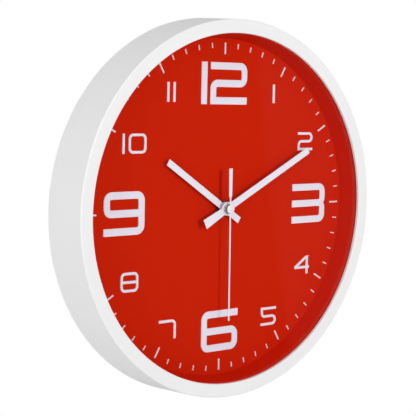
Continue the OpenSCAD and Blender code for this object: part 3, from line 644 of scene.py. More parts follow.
@dataclass(frozen=True)
class Finish:
    """One finish of the clock.

    Attributes:
        slot: the record's material slot.
        colour: base colour.
        roughness: roughness of the plain surface.
        metallic: 1 for metal.
        surface: the effect that gives the surface its grain.
        bump: height of the grain, in millimetres.
        tone: how far the colour drifts lighter and darker.
        smudge: how far handling marks raise the roughness.
        peel_scale: features of the orange peel in a metre.
        grain_scale: features of the grain in a metre.
        coat: weight of a clear coat.
        specular: how strongly the plain surface shines, 0.5 for bare plastic.
        ior: index of refraction.
        edge: colour of the painted highlight on the bevelled edges, or None.
    """

    slot: str
    colour: Colour
    roughness: float
    metallic: float = 0.0
    surface: Surface = Surface.MOULDED
    bump: float = 0.01
    tone: float = 0.05
    smudge: float = 0.05
    peel_scale: float = 180.0
    grain_scale: float = 2400.0
    coat: float = 0.0
    specular: float = 0.5
    ior: float = 1.46
    edge: Optional[Colour] = None

    def material(self, painted: Optional[Callable[[Nodes, Socket], Socket]] = None,
                 name: str = "") -> bpy.types.Material:
        """Builds the material, or returns it if it was built before.

        Args:
            painted: changes the base colour socket, for a pattern on top of the finish.
            name: the material's name, taken from the slot if empty.

        Returns:
            The material.
        """
        name = name or self.slot + "_finish"
        if name in bpy.data.materials:
            return bpy.data.materials[name]
        material, nodes = empty_material(name)
        effect = nodes.add("ShaderNodeGroup")
        if self.surface is Surface.MOULDED:
            effect.node_tree = moulded_skin()
            effect.inputs["Peel scale"].default_value = self.peel_scale
            effect.inputs["Grain scale"].default_value = self.grain_scale
            tone, smudge = effect.outputs["Tone"], effect.outputs["Smudge"]
        else:
            effect.node_tree = turned_metal()
            tone = smudge = effect.outputs["Patches"]
        light = tuple(min(1.0, c * (1 + self.tone)) for c in self.colour) + (1.0,)
        dark = tuple(c * (1 - self.tone) for c in self.colour) + (1.0,)
        colour = nodes.mix(tone, dark, light)
        # Painted highlight: the colour turns lighter on the bevelled edges, where light catches the
        # bends.
        if self.edge is not None:
            edge_highlight = nodes.add("ShaderNodeGroup")
            edge_highlight.node_tree = painted_edge_highlight()
            colour = nodes.mix(edge_highlight.outputs["Mask"], colour, self.edge + (1.0,))
        if painted is not None:
            colour = painted(nodes, colour)
        spread = nodes.math("MULTIPLY", smudge, self.smudge)
        roughness = nodes.math("ADD", spread, self.roughness, clamp=True)
        grain = {"Height": effect.outputs["Height"], "Distance": self.bump * MM}
        bump = nodes.add("ShaderNodeBump", grain)
        shader = nodes.add("ShaderNodeBsdfPrincipled", {
            "Base Color": colour,
            "Roughness": roughness,
            "Normal": bump.outputs[0],
            "Metallic": self.metallic,
            "IOR": self.ior,
            "Coat Weight": self.coat,
            "Specular IOR Level": self.specular,
        })
        nodes.add("ShaderNodeOutputMaterial", {"Surface": shader.outputs[0]})
        return material


# Colour of the painted highlight on the bevelled edges of the numerals and hands.
PALE_EDGE_HIGHLIGHT: Colour = (0.88, 0.88, 0.93)
WHITE_RIM = Finish("rim_white", (0.79, 0.79, 0.79), 0.34, bump=0.012, tone=0.012,
                   smudge=0.06, peel_scale=260.0)
WHITE_COVER = Finish("cover_white", (0.77, 0.77, 0.76), 0.5, bump=0.03, tone=0.015,
                     grain_scale=1500.0)
RED_DIAL = Finish("dial_red", (0.58, 0.0155, 0.0021), 0.6, bump=0.006, tone=0.02,
                  smudge=0.04, specular=0.01)
RED_WALL = Finish("wall_red", (0.6, 0.0125, 0.001), 0.5, bump=0.006, tone=0.02, specular=0.03)
PALE_NUMERAL = Finish("numeral_pale", (0.8, 0.76, 0.85), 0.42, bump=0.004, tone=0.02,
                      edge=PALE_EDGE_HIGHLIGHT)
PALE_HAND = Finish("hand_pale", (0.81, 0.78, 0.86), 0.36, bump=0.004, tone=0.02, edge=PALE_EDGE_HIGHLIGHT)
WHITE_CAP = Finish("cap_white", (0.82, 0.82, 0.83), 0.22, bump=0.004, tone=0.01)
BLACK_NUT = Finish("nut_black", (0.05, 0.038, 0.034), 0.45, metallic=0.2, bump=0.006, tone=0.3)
BRASS = Finish("brass", (0.72, 0.5, 0.2), 0.3, 1.0, Surface.TURNED, bump=0.004, tone=0.12)
NICKEL = Finish("nickel", (0.5, 0.47, 0.46), 0.3, 1.0, Surface.TURNED, bump=0.004, tone=0.1)
STEEL = Finish("steel", (0.56, 0.57, 0.6), 0.34, 1.0, Surface.TURNED, bump=0.004, tone=0.12)
RUBBER = Finish("rubber_black", (0.02, 0.02, 0.021), 0.8, bump=0.02, tone=0.15)
BLACK_SHELL = Finish("movement_black", (0.022, 0.022, 0.025), 0.55, bump=0.03, tone=0.1,
                     grain_scale=1400.0)
GREY_PLATE = Finish("plate_grey", (0.1, 0.1, 0.11), 0.5, bump=0.02, tone=0.08)
ACETAL = Finish("gear_natural", (0.8, 0.79, 0.73), 0.42, bump=0.01, tone=0.04)
IVORY = Finish("bobbin_ivory", (0.76, 0.7, 0.54), 0.5, bump=0.01, tone=0.05)
FERRITE = Finish("ferrite", (0.06, 0.06, 0.065), 0.5, 0.6, bump=0.02, tone=0.2)
GREEN_BOARD = Finish("board_green", (0.015, 0.13, 0.05), 0.35, bump=0.01, tone=0.15, coat=0.4)
EPOXY = Finish("epoxy_black", (0.012, 0.012, 0.013), 0.25, bump=0.01, tone=0.1)
JACKET = Finish("battery_jacket", (0.05, 0.16, 0.32), 0.32, bump=0.004, tone=0.08, coat=0.5)
COPPER = Finish("copper_wire", (0.72, 0.27, 0.1), 0.32, 1.0, bump=0.01, tone=0.1)
CLEAR_LENS = Finish("lens_clear", (0.985, 0.99, 0.99), 0.0, ior=1.3)
BAND_SHARE = 0.3
BAND_GREY: Colour = (0.58, 0.6, 0.62)
# Colour of the painted shade in the grooves between turns of wire.
WIRE_GROOVE_SHADE: Colour = (0.3, 0.1, 0.03)
WIRE_TURNS_PER_MM = 5.0


def clear_lens() -> bpy.types.Material:
    """The clear lens: smooth glass that lets lamp light and scattered light straight through.

    Returns:
        The material.
    """
    material, nodes = empty_material(CLEAR_LENS.slot + "_finish")
    glass = nodes.add("ShaderNodeBsdfPrincipled", {
        "Base Color": CLEAR_LENS.colour + (1.0,),
        "Roughness": CLEAR_LENS.roughness,
        "IOR": CLEAR_LENS.ior,
        "Transmission Weight": 1.0,
    })
    clear = nodes.add("ShaderNodeBsdfTransparent", {"Color": (0.96, 0.965, 0.965, 1.0)})
    path = nodes.add("ShaderNodeLightPath")
    past = nodes.math("MAXIMUM", path.outputs["Is Shadow Ray"], path.outputs["Is Diffuse Ray"])
    both = nodes.mix_shader(past, glass.outputs[0], clear.outputs[0])
    nodes.add("ShaderNodeOutputMaterial", {"Surface": both})
    return material


def wire_turns(nodes: Nodes, colour: Socket) -> Socket:
    """Darkens the grooves between turns of wire with painted shade, as a sine of the height along
    the coil.

    Args:
        nodes: the material's tree.
        colour: the colour to change.

    Returns:
        The changed colour.
    """
    height = nodes.add("ShaderNodeSeparateXYZ", {0: object_place(nodes)}).outputs["Z"]
    pitch = 2 * math.pi * WIRE_TURNS_PER_MM / MM
    wave = nodes.math("SINE", nodes.math("MULTIPLY", height, pitch))
    # Painted shade: darkest in the grooves between turns, plain copper on the turns.
    turn_shading = nodes.math("MULTIPLY", nodes.math("ADD", wave, 1.0), 0.5)
    return nodes.mix(turn_shading, WIRE_GROOVE_SHADE + (1.0,), colour)


def battery_band(nodes: Nodes, colour: Socket) -> Socket:
    """A pale band on the jacket at the positive end.

    Args:
        nodes: the material's tree.
        colour: the jacket's colour.

    Returns:
        The changed colour.
    """
    low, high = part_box("battery")
    length = high.x - low.x
    along = nodes.add("ShaderNodeSeparateXYZ", {0: object_place(nodes)}).outputs["X"]
    share = nodes.math("DIVIDE", nodes.math("SUBTRACT", along, low.x), length)
    band = nodes.math("LESS_THAN", share, BAND_SHARE)
    return nodes.mix(band, colour, BAND_GREY + (1.0,))


def dress(piece: Piece, finish: Finish, body: str, node: Optional[str] = None,
          material: Optional[bpy.types.Material] = None) -> Piece:
    """Gives a new piece its material, slot and body.

    Args:
        piece: the piece.
        finish: its finish.
        body: the CAD body that it rides on.
        node: the CAD node that it replaces, if any.
        material: a material to use instead of the finish's own.

    Returns:
        The piece.
    """
    even = piece.modifiers.new("even", "WEIGHTED_NORMAL")
    even.weight, even.keep_sharp = 100, True
    apply_modifiers(piece)
    piece.data.materials.clear()
    piece.data.materials.append(material or finish.material())
    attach(piece, body)
    if node is not None:
        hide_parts(node)
    LOG.info("%s: %d faces, on %s", piece.name, len(piece.data.polygons), body)
    return piece


def paint_node(node: str, finish: Finish, material: Optional[bpy.types.Material] = None) -> None:
    """Gives a CAD node a finish.

    Args:
        node: the CAD node's name.
        finish: its finish.
        material: a material to use instead of the finish's own.
    """
    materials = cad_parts[node].data.materials
    materials.clear()
    materials.append(material or finish.material())
    LOG.info("%s: painted %s", node, finish.slot)


# ------------------------------------------------------------------ heights read from the frame


def front_of(node: str) -> float:
    """Height of a node's front above the wall, in millimetres."""
    return -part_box(node)[0].y / MM


def back_of(node: str) -> float:
    """Height of a node's back above the wall, in millimetres."""
    return -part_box(node)[1].y / MM


def radius_of(node: str) -> float:
    """Outer radius of a round node that is centred on the axis of the hands, in millimetres."""
    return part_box(node)[1].x / MM


def flat_box(node: str) -> tuple[np.ndarray, np.ndarray]:
    """Centre and size of a node on the plane of the dial, in millimetres."""
    low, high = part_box(node)
    low_xy, high_xy = np.array([low.x, low.z]) / MM, np.array([high.x, high.z]) / MM
    return (low_xy + high_xy) / 2, high_xy - low_xy


# ------------------------------------------------------------------ sub-assemblies


@dataclass
class Case:
    """The rim, the lens, the red wall and the rear cover, with its screws.

    Attributes:
        flare: how far the rim widens towards the wall.
        wall: thickness of the rim's side wall.
        lip_width: width of the front lip.
        outer_round: radius of the lip's outer edge.
        inner_round: radius of the lip's inner edge.
        slope: how far the red wall's foot stands inside the lip.
        skin: thickness of the red wall.
        flange: width of the red wall's foot on the dial.
        cover_edge: width of the rear cover's rounded edges.
        screw_edge: width of the screws' rounded edges.
        boss_radius: radius of a screw boss.
        screw_radius: radius of the hole in a boss.
        screw_count: number of screws.
        seat: how deep a boss stands in the lip, and how far it clears the side wall.
        segments: steps in a full turn of the large rings.
        back_radius: radius of the rim at the wall, from the frame.
        front_radius: radius of the rim at its front, from the frame.
        depth: height of the rim, from the frame.
        lip_inner: inner radius of the lip.
    """

    flare: float = 2.0
    wall: float = 2.4
    lip_width: float = 10.8
    outer_round: float = 1.1
    inner_round: float = 0.7
    slope: float = 3.7
    skin: float = 1.5
    flange: float = 4.0
    cover_edge: float = 0.35
    screw_edge: float = 0.12
    boss_radius: float = 3.0
    screw_radius: float = 1.5
    screw_count: int = 6
    seat: float = 0.4
    segments: int = 240
    back_radius: float = field(init=False)
    front_radius: float = field(init=False)
    depth: float = field(init=False)
    lip_inner: float = field(init=False)

    def __post_init__(self) -> None:
        """Reads the overall sizes from the frame."""
        self.back_radius = radius_of("rim")
        self.front_radius = self.back_radius - self.flare
        self.depth = front_of("rim")
        self.lip_inner = self.front_radius - self.lip_width

    def outer_at(self, height: float) -> float:
        """Outside radius of the side wall at a height above the wall of the room."""
        return self.back_radius - self.flare * height / self.depth

    def rim(self) -> Piece:
        """The white rim: side wall and lip in one rounded profile, with bosses behind the lip.

        Returns:
            The new piece.
        """
        lens_front = front_of("lens")
        under = self.outer_at(lens_front) - self.wall
        foot_in, foot_out, ledge, inner_corner = 0.5, 0.6, 0.25, 0.6
        profile = fillet([
            (self.outer_at(0) - self.wall, 0, foot_in),
            (self.outer_at(0), 0, foot_out),
            (self.front_radius, self.depth, self.outer_round),
            (self.lip_inner, self.depth, self.inner_round),
            (self.lip_inner, lens_front, ledge),
            (under, lens_front, inner_corner),
        ], steps=5)
        rim = revolve("rim_moulding", profile, self.segments)
        base, top = front_of("dial"), lens_front + self.seat
        boss_ring = under - self.boss_radius - self.seat
        r, bore, edge = self.boss_radius, self.screw_radius, 0.2
        boss = np.array([(bore, base), (r - edge, base), (r, base + edge), (r, top), (bore, top)])
        for angle in self.screw_angles():
            place = boss_ring * np.array([math.cos(angle), math.sin(angle)])
            combine(rim, revolve("boss", boss, 32, place), Cut.UNION)
        return dress(rim, WHITE_RIM, "case", "rim")

    def screw_angles(self) -> np.ndarray:
        """Angles of the screws round the case, in radians."""
        step = 2 * np.pi / self.screw_count
        return np.pi / 2 + (np.arange(self.screw_count) + 0.5) * step

    def lens(self) -> Piece:
        """The clear disc behind the lip, with a small rounding on its edge.

        Returns:
            The new piece.
        """
        low, high, r, edge = back_of("lens"), front_of("lens"), radius_of("lens"), 0.3
        profile = fillet([(0, low, 0), (r, low, edge), (r, high, edge), (0, high, 0)], steps=3)
        lens = revolve("lens_disc", profile, self.segments)
        return dress(lens, CLEAR_LENS, "case", "lens", clear_lens())

    def dial_wall(self) -> Piece:
        """The red wall: a narrow cone from the lip to the dial with a flange at each end.

        Returns:
            The new piece.
        """
        lap, foot_back, head_back = 0.1, 0.4, 0.6
        foot, head = self.lip_inner - self.slope, self.lip_inner + lap
        base, top, outer = back_of("dial_wall"), front_of("dial_wall"), radius_of("dial_wall")
        t, edge, bend = self.skin, 0.2, 0.3
        profile = fillet([
            (foot, base, 0),
            (foot + self.flange, base, edge),
            (foot + self.flange, base + t, edge),
            (foot + t + foot_back, base + t, bend),
            (head + head_back, top - t, bend),
            (outer, top - t, edge),
            (outer, top, edge),
            (head, top, bend),
        ], steps=3)
        return dress(revolve("wall_ring", profile, self.segments), RED_WALL, "case", "dial_wall")

    def build(self) -> None:
        """Builds every piece of the case."""
        self.rim()
        self.lens()
        self.dial_wall()
        paint_node("dial", RED_DIAL)
        dress(softened("rear_cover", self.cover_edge), WHITE_COVER, "case")
        dress(softened("case_screws", self.screw_edge), STEEL, "case")


@dataclass
class Numerals:
    """The twelve raised numerals and the ring of ticks.

    Attributes:
        big_stroke: width of the strokes of the four large numerals.
        small_stroke: width of the strokes of the small numerals.
        big_corner: centre-line radius of the large numerals' corners.
        small_corner: centre-line radius of the small numerals' corners.
        pair_gap: gap between the two digits of ten and twelve.
        bevel: radius of the top edges.
        bevel_share: the most that this radius may be, as a share of the stroke's width.
        hour_tick: length and width of an hour tick.
        minute_tick: length and width of a minute tick.
    """

    big_stroke: float = 5.8
    small_stroke: float = 2.2
    big_corner: float = 4.3
    small_corner: float = 3.2
    pair_gap: float = 3.6
    bevel: float = 0.45
    bevel_share: float = 0.28
    hour_tick: tuple[float, float] = (9.1, 1.3)
    minute_tick: tuple[float, float] = (4.1, 0.9)

    def digit(self, value: int, centre: np.ndarray, size: np.ndarray, width: float,
              radius: float) -> list[Bar]:
        """The strokes of one digit.

        Args:
            value: the digit.
            centre: its centre on the dial.
            size: its width and height.
            width: width of the strokes.
            radius: centre-line radius of the rounded corners.

        Returns:
            One bar for each stroke.
        """
        edge, tall = size[0] / 2, size[1] / 2
        right, top, r = edge - width / 2, tall - width / 2, radius
        lines: dict[int, list[list[tuple[float, float, float]]]] = {
            1: [[(0, -tall, 0), (0, tall, 0)]],
            2: [[(-edge, top, 0), (right, top, r), (right, 0, r), (-right, 0, r),
                 (-right, -top, 0), (edge, -top, 0)]],
            3: [[(-edge, s * top, 0), (right, s * top, r), (right, 0, r), (-edge, 0, 0)]
                for s in (1, -1)],
            5: [[(edge, top, 0), (-right, top, 0), (-right, 0, r), (right, 0, r),
                 (right, -top, r), (-edge, -top, 0)]],
            6: [[(edge, top, 0), (-right, top, r), (-right, -top, r), (width, -top, 0)],
                [(-width, -top, 0), (right, -top, r), (right, 0, r), (-right, 0, 0)]],
            7: [[(-edge, top, 0), (right, top, r), (right, -tall, 0)]],
        }
        ring = [(-right, -top, r), (right, -top, r), (right, top, r), (-right, top, r)]
        if value in (0, 8):
            bars = [Bar.along(ring, width, closed=True)]
            if value == 8:
                bars.append(Bar.along([(-right, 0, 0), (right, 0, 0)], width))
        elif value == 4:
            bars = self.four(size, width)
        elif value == 9:
            bars = [Bar.along([(-x, -y, c) for x, y, c in line], width) for line in lines[6]]
        else:
            bars = [Bar.along(line, width) for line in lines[value]]
        for bar in bars:
            bar.line = bar.line + centre
        return bars

    def four(self, size: np.ndarray, width: float) -> list[Bar]:
        """The three strokes of a four: an upright, a crossbar and a slanted stroke.

        The upright's middle is shift of the width to the right of the digit's middle, and
        the crossbar's is drop of the height below it. The slanted stroke starts a little
        below the top of the crossbar and ends just short of the upright, both cut level.

        Args:
            size: width and height of the digit.
            width: width of the strokes.

        Returns:
            The three bars.
        """
        edge, tall = size[0] / 2, size[1] / 2
        shift, drop, short, below = 0.35, 0.13, 0.4, 0.12
        upright, bar_y = shift * size[0], -drop * size[1]
        bar_top = bar_y + width / 2
        head = upright - width / 2 - short
        rise = math.atan2(tall - bar_top, head + edge)
        slide = width / 2 / math.sin(rise)
        foot_y = bar_top - below * width
        foot_x = -edge + (foot_y - bar_top) / math.tan(rise)
        slanted = [(foot_x + slide, foot_y, 0), (head + slide, tall, 0)]
        return [
            Bar.along([(upright, -tall, 0), (upright, tall, 0)], width),
            Bar.along([(-edge, bar_y, 0), (edge, bar_y, 0)], width),
            Bar.along(slanted, width, cuts=((1.0, 0.0), (1.0, 0.0))),
        ]

    def strokes(self, hour: int) -> list[Bar]:
        """All strokes of one hour's numeral, placed in the box of its CAD node.

        Args:
            hour: the hour, 1 to 12.

        Returns:
            The bars.
        """
        centre, size = flat_box(f"numeral_{hour}")
        big = hour % 3 == 0
        width = self.big_stroke if big else self.small_stroke
        radius = self.big_corner if big else self.small_corner
        left, right = centre[0] - size[0] / 2, centre[0] + size[0] / 2
        if hour < 10:
            return self.digit(hour, centre, size, width, radius)
        tens = np.array([left + width / 2, centre[1]])
        one = self.digit(1, tens, np.array([width, size[1]]), width, radius)
        if hour == 11:
            last = np.array([right - width / 2, centre[1]])
            return one + self.digit(1, last, np.array([width, size[1]]), width, radius)
        rest = size[0] - width - self.pair_gap
        units = np.array([right - rest / 2, centre[1]])
        return one + self.digit(hour - 10, units, np.array([rest, size[1]]), width, radius)

    def section(self, width: float) -> Section:
        """Cross-section of a stroke of this width, as high as the CAD numerals."""
        height = front_of("numeral_3") - front_of("dial")
        return Section(height, min(self.bevel, self.bevel_share * width))

    def ticks(self, node: str, size: tuple[float, float], angles: np.ndarray) -> Piece:
        """A ring of ticks in one piece.

        One tick's points p are turned by every angle t at once:
        (x cos t - y sin t, x sin t + y cos t).

        Args:
            node: the CAD node that they replace.
            size: length and width of a tick.
            angles: their angles on the dial, in radians.

        Returns:
            The new piece.
        """
        outer = radius_of("hour_ticks")
        bar = Bar.along([(outer - size[0], 0, 0), (outer, 0, 0)], size[1])
        points, faces = bar.surface(self.section(size[1]), front_of("dial"))
        cos, sin = np.cos(angles)[:, None], np.sin(angles)[:, None]
        x, y, z = points[None, :, 0], points[None, :, 1], points[None, :, 2]
        ring = np.stack([x * cos - y * sin, x * sin + y * cos, z + 0 * cos], axis=-1)
        shift = (np.arange(len(angles)) * len(points))[:, None, None]
        quads = (faces[None] + shift).reshape(-1, 4)
        return dress(new_piece(node + "_bars", ring, quads), PALE_NUMERAL, "case", node)

    def build(self) -> None:
        """Builds the numerals and the ticks."""
        for hour in range(1, 13):
            section = self.section(self.big_stroke if hour % 3 == 0 else self.small_stroke)
            strokes = bar_piece(f"hour_{hour}", self.strokes(hour), section, front_of("dial"))
            dress(strokes, PALE_NUMERAL, "case", f"numeral_{hour}")
        steps = np.arange(60)
        self.ticks("hour_ticks", self.hour_tick, steps[steps % 5 == 0] * np.pi / 30)
        self.ticks("minute_ticks", self.minute_tick, steps[steps % 5 != 0] * np.pi / 30)


@dataclass
class Hand:
    """One hand: a blade with a hub, drawn along +y and turned to its place.

    Attributes:
        node: the CAD node that it replaces.
        body: the CAD body that it rides on.
        angle: its angle at rest, in degrees clockwise from twelve.
        widths: pairs of distance from the axis and width there, from the tail to the tip.
        hub_radius: radius of the hub's disc.
        bore: radius of the hole at the hub.
        bevel: radius of the top edges.
        thickness: thickness of the plate.
        foot: radius of the bottom edges.
    """

    node: str
    body: str
    angle: float
    widths: Sequence[tuple[float, float]]
    hub_radius: float
    bore: float
    bevel: float = 0.3
    thickness: float = 0.5
    foot: float = 0.08

    def blade(self) -> Bar:
        """The blade and its hub in one bar.

        Half the width at a distance u from the axis is the larger of the blade's own
        half width, which runs straight between the given pairs, and the hub's
        sqrt(hub_radius^2 - u^2).

        Returns:
            The bar, turned to the hand's angle.
        """
        places, widths = np.array(self.widths, float).T
        hub = self.hub_radius * np.cos(np.linspace(np.pi, 0, 49))
        u = np.unique(np.round(np.r_[places, hub], 6))
        disc = np.sqrt(np.maximum(self.hub_radius ** 2 - u ** 2, 0))
        half = np.maximum(np.interp(u, places, widths / 2), disc)
        turn = math.radians(self.angle)
        along = np.array([math.sin(turn), math.cos(turn)])
        side = np.array([along[1], -along[0]])
        return Bar(u[:, None] * along, np.broadcast_to(side, (len(u), 2)), half)

    def build(self) -> Piece:
        """Builds the hand at the height of its CAD plate, with its bore.

        Returns:
            The new piece.
        """
        top, past = front_of(self.node), 3.0
        section = Section(self.thickness, self.bevel, self.foot, steps=3)
        surface = self.blade().surface(section, top - self.thickness)
        piece = new_piece(self.node + "_blade", *surface)
        low, high = top - past, top + past
        hole = np.array([(0, low), (self.bore, low), (self.bore, high), (0, high)])
        combine(piece, revolve("hole", hole, 64), Cut.DIFFERENCE)
        return dress(piece, PALE_HAND, self.body, self.node)


@dataclass
class Hands:
    """The three hands with their collets and the cap, and the nut behind them.

    Attributes:
        hours: hours shown at rest.
        minutes: minutes shown at rest.
        seconds: seconds shown at rest.
        hour_late: angle by which the hour hand was fitted late, in degrees.
        second_late: the same for the second hand.
        pipe_radius: radius of the second hand's arbor.
        cap_rise: height of the cap's dome.
        nut_edge: width of the rounded edges of the nut and the minute hand's collet.
        washer_edge: width of the washer's rounded edges.
    """

    hours: float = 10.0
    minutes: float = 10.0
    seconds: float = 30.0
    hour_late: float = 2.0
    second_late: float = 0.5
    pipe_radius: float = 0.5
    cap_rise: float = 0.6
    nut_edge: float = 0.15
    washer_edge: float = 0.08

    def blades(self) -> list[Hand]:
        """The three hands, with their angles from the time shown.

        Returns:
            The hour, minute and second hands.
        """
        seconds = self.seconds * 6 - self.second_late
        minutes = (self.minutes + self.seconds / 60) * 6
        hours = (self.hours + self.minutes / 60 + self.seconds / 3600) * 30 - self.hour_late
        return [
            Hand("hour_hand", "hour", hours, [(-19, 5.4), (0, 5.4), (70, 5.4)], 5.2, 3.0),
            Hand("minute_hand", "minute", minutes, [(-25.6, 8), (0, 5.8), (100.3, 5.4)], 5.6, 2.4),
            Hand("second_hand", "second", seconds,
                 [(-32.5, 3.6), (-10.4, 3.05), (-9, 1.4), (90.4, 1.4)], 3.6, self.pipe_radius, 0.2),
        ]

    def cap(self) -> Piece:
        """The white cap: a short drum under a shallow dome.

        The dome is a circle's arc of radius (a^2 + h^2) / 2h for a half width a and a
        rise h.

        Returns:
            The new piece.
        """
        radius, top, base = radius_of("second_cap"), front_of("second_cap"), back_of("second_cap")
        rise, edge, foot = self.cap_rise, 0.25, 0.1
        ball = (radius ** 2 + rise ** 2) / (2 * rise)
        across = np.linspace(0, radius, 13)
        dome = np.stack([across, top - ball + np.sqrt(ball ** 2 - across ** 2)], -1)
        rounded = fillet([(dome[-2, 0], dome[-2, 1], 0), (radius, dome[-1, 1], edge),
                          (radius, base, foot), (0, base, 0)], steps=4, closed=False)
        cap = revolve("cap_dome", np.concatenate([dome[:-2], rounded]), 72)
        return dress(cap, WHITE_CAP, "second", "second_cap")

    def build(self) -> None:
        """Builds the hands and what holds them."""
        for hand in self.blades():
            hand.build()
        self.cap()
        paint_node("hour_collet", BRASS)
        dress(softened("minute_collet", self.nut_edge), NICKEL, "minute")
        dress(softened("hex_nut", self.nut_edge), BLACK_NUT, "case")
        dress(softened("dial_washer", self.washer_edge), BRASS, "case")
        paint_node("threaded_bush", BRASS)
        paint_node("rubber_gasket", RUBBER)


@dataclass
class Movement:
    """The quartz movement behind the dial, its battery and its setting knob.

    Attributes:
        edge: width of the rounded edges of the two shells.
        knob_edge: width of the setting knob's rounded edges.
        nub_radius: radius of the cell's positive end.
        nub_height: how far the positive end stands out.
        rolled: width of the rolled edge at the positive end of the can.
    """

    edge: float = 0.2
    knob_edge: float = 0.12
    nub_radius: float = 2.75
    nub_height: float = 1.0
    rolled: float = 0.9

    def battery(self) -> Piece:
        """The cell: a rolled can with a raised positive end.

        Its profile is turned about z like every ring and then laid along x.

        Returns:
            The new piece.
        """
        low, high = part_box("battery")
        length, radius = (high.x - low.x) / MM, (high.z - low.z) / 2 / MM
        nub, shoulder = self.nub_radius, self.nub_height
        neck, can, end = radius - self.rolled, shoulder + 0.25, length - 0.3
        base_ring = radius - 1.0
        profile = fillet([
            (0, 0, 0), (nub, 0, 0.4), (nub, shoulder, 0.2), (neck, shoulder, 0.1),
            (neck, can, 0), (radius, can, 0.5), (radius, length, 0.6),
            (base_ring, length, 0.2), (base_ring, end, 0.1), (0, end, 0),
        ], steps=3)
        piece = revolve("battery_cell", profile, 72)
        centre = (low + high) / 2
        place = Matrix.Translation((low.x, centre.y, centre.z))
        piece.data.transform(place @ Matrix.Rotation(math.pi / 2, 4, "Z"))
        jacket = JACKET.material(battery_band, "battery_jacket_banded_finish")
        return dress(piece, JACKET, "case", "battery", jacket)

    def build(self) -> None:
        """Dresses every piece of the movement."""
        dress(softened("movement_base", self.edge), BLACK_SHELL, "case")
        dress(softened("movement_cover", self.edge), BLACK_SHELL, "case")
        dress(softened("setting_knob", self.knob_edge), GREY_PLATE, "knob")
        self.battery()
        painted = {
            GREY_PLATE: ["middle_plate"],
            STEEL: ["stator", "coil_core", "crystal"],
            IVORY: ["coil_bobbin"],
            FERRITE: ["rotor_magnet"],
            ACETAL: ["rotor_pinion", "fifth_wheel", "second_wheel", "third_wheel", "centre_wheel",
                     "motion_wheel", "hour_wheel"],
            GREEN_BOARD: ["circuit_board"],
            EPOXY: ["chip"],
            NICKEL: ["contact_positive", "contact_negative"],
        }
        for finish, nodes in painted.items():
            for node in nodes:
                paint_node(node, finish)
        paint_node("coil_winding", COPPER, COPPER.material(wire_turns))


# ------------------------------------------------------------------ studio


@dataclass(frozen=True)
class Lamp:
    """A square soft light that faces the clock.

    A lamp of power P at a distance d lights a white surface that faces it as an even sky
    of brightness P / (pi^2 d^2) does.

    Attributes:
        name: the lamp's name.
        towards: direction from the clock to the lamp.
        distance: its distance, in metres.
        size: its side, in metres.
        share: the brightness of the even sky that it equals.
    """

    name: str
    towards: tuple[float, float, float]
    distance: float
    size: float
    share: float

    def build(self) -> None:
        """Places the lamp."""
        data = bpy.data.lights.new(self.name, "AREA")
        data.shape, data.size = "SQUARE", self.size
        data.energy = self.share * math.pi ** 2 * self.distance ** 2
        lamp = new_object(self.name, data)
        way = Vector(self.towards).normalized()
        aim = way.to_track_quat("Z", "Y").to_matrix().to_4x4()
        lamp.matrix_world = Matrix.Translation(way * self.distance) @ aim


LAMPS = (
    Lamp("key", (0.14, -0.97, 0.16), 3.0, 0.3, 0.38),
    Lamp("left_fill", (-0.98, -0.18, -0.08), 2.5, 1.6, 0.56),
    Lamp("top_fill", (-0.3, -0.05, 0.95), 2.5, 1.5, 0.09),
)


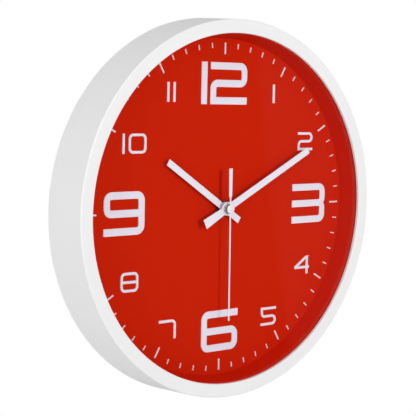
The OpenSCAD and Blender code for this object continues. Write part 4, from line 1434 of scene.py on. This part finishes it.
@dataclass
class Studio:
    """Camera, lights, backdrop and floor.

    Attributes:
        eye: the camera's place, in metres.
        target: the point that the camera looks at.
        roll_deg: how far the camera leans to its left, which turns the picture clockwise.
        lens_mm: focal length on a 36 mm sensor.
        ambient: brightness of the surroundings as they light the clock.
        reflected: brightness of the surroundings as gloss shows them.
        flag: direction of a black flag, which the dial's lens mirrors in the first view.
        flag_start: cosine of the angle from the flag where gloss begins to darken.
        flag_end: the cosine where gloss is darkest.
        flag_dark: brightness of the flag.
        card: brightness of the slanted card that the lens mirrors on its right side.
        card_lean: how far the card's edge leans.
        card_start: where the card's edge begins.
        card_end: where the card is at its brightest.
        floor_half: half the side of the floor, in metres.
        floor_drop: how far the floor lies below the clock, in metres.
        floor_white: how much light the floor throws back.
    """

    eye: tuple[float, float, float] = (-0.66134, -0.78559, 0.09329)
    target: tuple[float, float, float] = (-0.01406, -0.02, 0.00062)
    roll_deg: float = 1.17
    lens_mm: float = 109.24
    ambient: float = 0.585
    reflected: float = 0.6
    flag: tuple[float, float, float] = (0.64, -0.76, -0.09)
    flag_start: float = 0.72
    flag_end: float = 0.96
    flag_dark: float = 0.006
    card: float = 0.065
    card_lean: float = 0.19
    card_start: float = 0.907
    card_end: float = 0.922
    floor_half: float = 6.0
    floor_drop: float = 0.12
    floor_white: float = 0.93

    def camera(self) -> None:
        """Places the camera and makes it the scene's."""
        data = bpy.data.cameras.new("camera")
        data.lens, data.sensor_width = self.lens_mm, 36.0
        data.clip_start, data.clip_end = 0.05, 50.0
        camera = new_object("camera", data)
        eye, target = Vector(self.eye), Vector(self.target)
        aim = (target - eye).to_track_quat("-Z", "Y")
        roll = Matrix.Rotation(math.radians(self.roll_deg), 4, "Z")
        camera.matrix_world = Matrix.Translation(eye) @ aim.to_matrix().to_4x4() @ roll
        bpy.context.scene.camera = camera

    def surroundings(self) -> None:
        """White behind the clock, soft grey as light, and a darker room in reflections.

        A glossy ray that leaves along (x, y, z) meets the card where
        (x + card_lean * z) / -y is past card_start, so the card's edge runs down to the
        right across the lens. Towards the flag the room runs smoothly to black.
        """
        world = bpy.data.worlds.new("studio")
        bpy.context.scene.world = world
        world.use_nodes = True
        world.node_tree.nodes.clear()
        nodes = Nodes(world.node_tree)
        path = nodes.add("ShaderNodeLightPath")
        way = nodes.add("ShaderNodeTexCoord").outputs["Generated"]
        flag = tuple(Vector(self.flag).normalized())
        facing = nodes.add("ShaderNodeVectorMath", {0: way, 1: flag}, operation="DOT_PRODUCT")
        room = nodes.smooth_step(facing.outputs["Value"], self.flag_start, self.flag_end,
                                 self.reflected, self.flag_dark)
        parts = nodes.add("ShaderNodeSeparateXYZ", {0: way})
        ahead = nodes.math("MULTIPLY", parts.outputs["Y"], -1.0)
        lean = nodes.math("MULTIPLY", parts.outputs["Z"], self.card_lean)
        across = nodes.math("DIVIDE", nodes.math("ADD", parts.outputs["X"], lean), ahead)
        card = nodes.smooth_step(across, self.card_start, self.card_end, 0.0, self.card)
        mirrored = nodes.math("ADD", room, card)
        sky = (self.ambient, self.ambient, self.ambient, 1.0)
        seen = nodes.mix(path.outputs["Is Glossy Ray"], sky, mirrored)
        colour = nodes.mix(path.outputs["Is Camera Ray"], seen, (1.0, 1.0, 1.0, 1.0))
        background = nodes.add("ShaderNodeBackground", {"Color": colour, "Strength": 1.0})
        nodes.add("ShaderNodeOutputWorld", {"Surface": background.outputs[0]})

    def floor(self) -> None:
        """A plain pale floor below the clock, white to the camera and clear to gloss."""
        half, level = self.floor_half, CAD_BOX[0].z - self.floor_drop
        mesh = bpy.data.meshes.new("floor")
        corners = [(x * half, y * half, level) for x, y in ((-1, -1), (1, -1), (1, 1), (-1, 1))]
        mesh.from_pydata(corners, [], [(0, 1, 2, 3)])
        floor = new_object("floor", mesh)
        material, nodes = empty_material("pale_floor")
        pale = (self.floor_white, self.floor_white, self.floor_white, 1.0)
        matt = nodes.add("ShaderNodeBsdfDiffuse", {"Color": pale}).outputs[0]
        white = {"Color": (1.0, 1.0, 1.0, 1.0), "Strength": 1.0}
        glow = nodes.add("ShaderNodeEmission", white).outputs[0]
        clear = nodes.add("ShaderNodeBsdfTransparent").outputs[0]
        path = nodes.add("ShaderNodeLightPath")
        mirrored = nodes.mix_shader(path.outputs["Is Glossy Ray"], matt, clear)
        seen = nodes.mix_shader(path.outputs["Is Camera Ray"], mirrored, glow)
        nodes.add("ShaderNodeOutputMaterial", {"Surface": seen})
        mesh.materials.append(material)

    def build(self) -> None:
        """Sets up the whole studio."""
        bpy.context.scene.view_settings.view_transform = "Standard"
        self.camera()
        self.surroundings()
        for lamp in LAMPS:
            lamp.build()
        self.floor()


def main() -> None:
    """Builds the studio and every sub-assembly of the clock."""
    logging.basicConfig(level=logging.INFO, format="%(message)s")
    Studio().build()
    Case().build()
    Numerals().build()
    Hands().build()
    Movement().build()


if __name__ == "__main__":
    main()
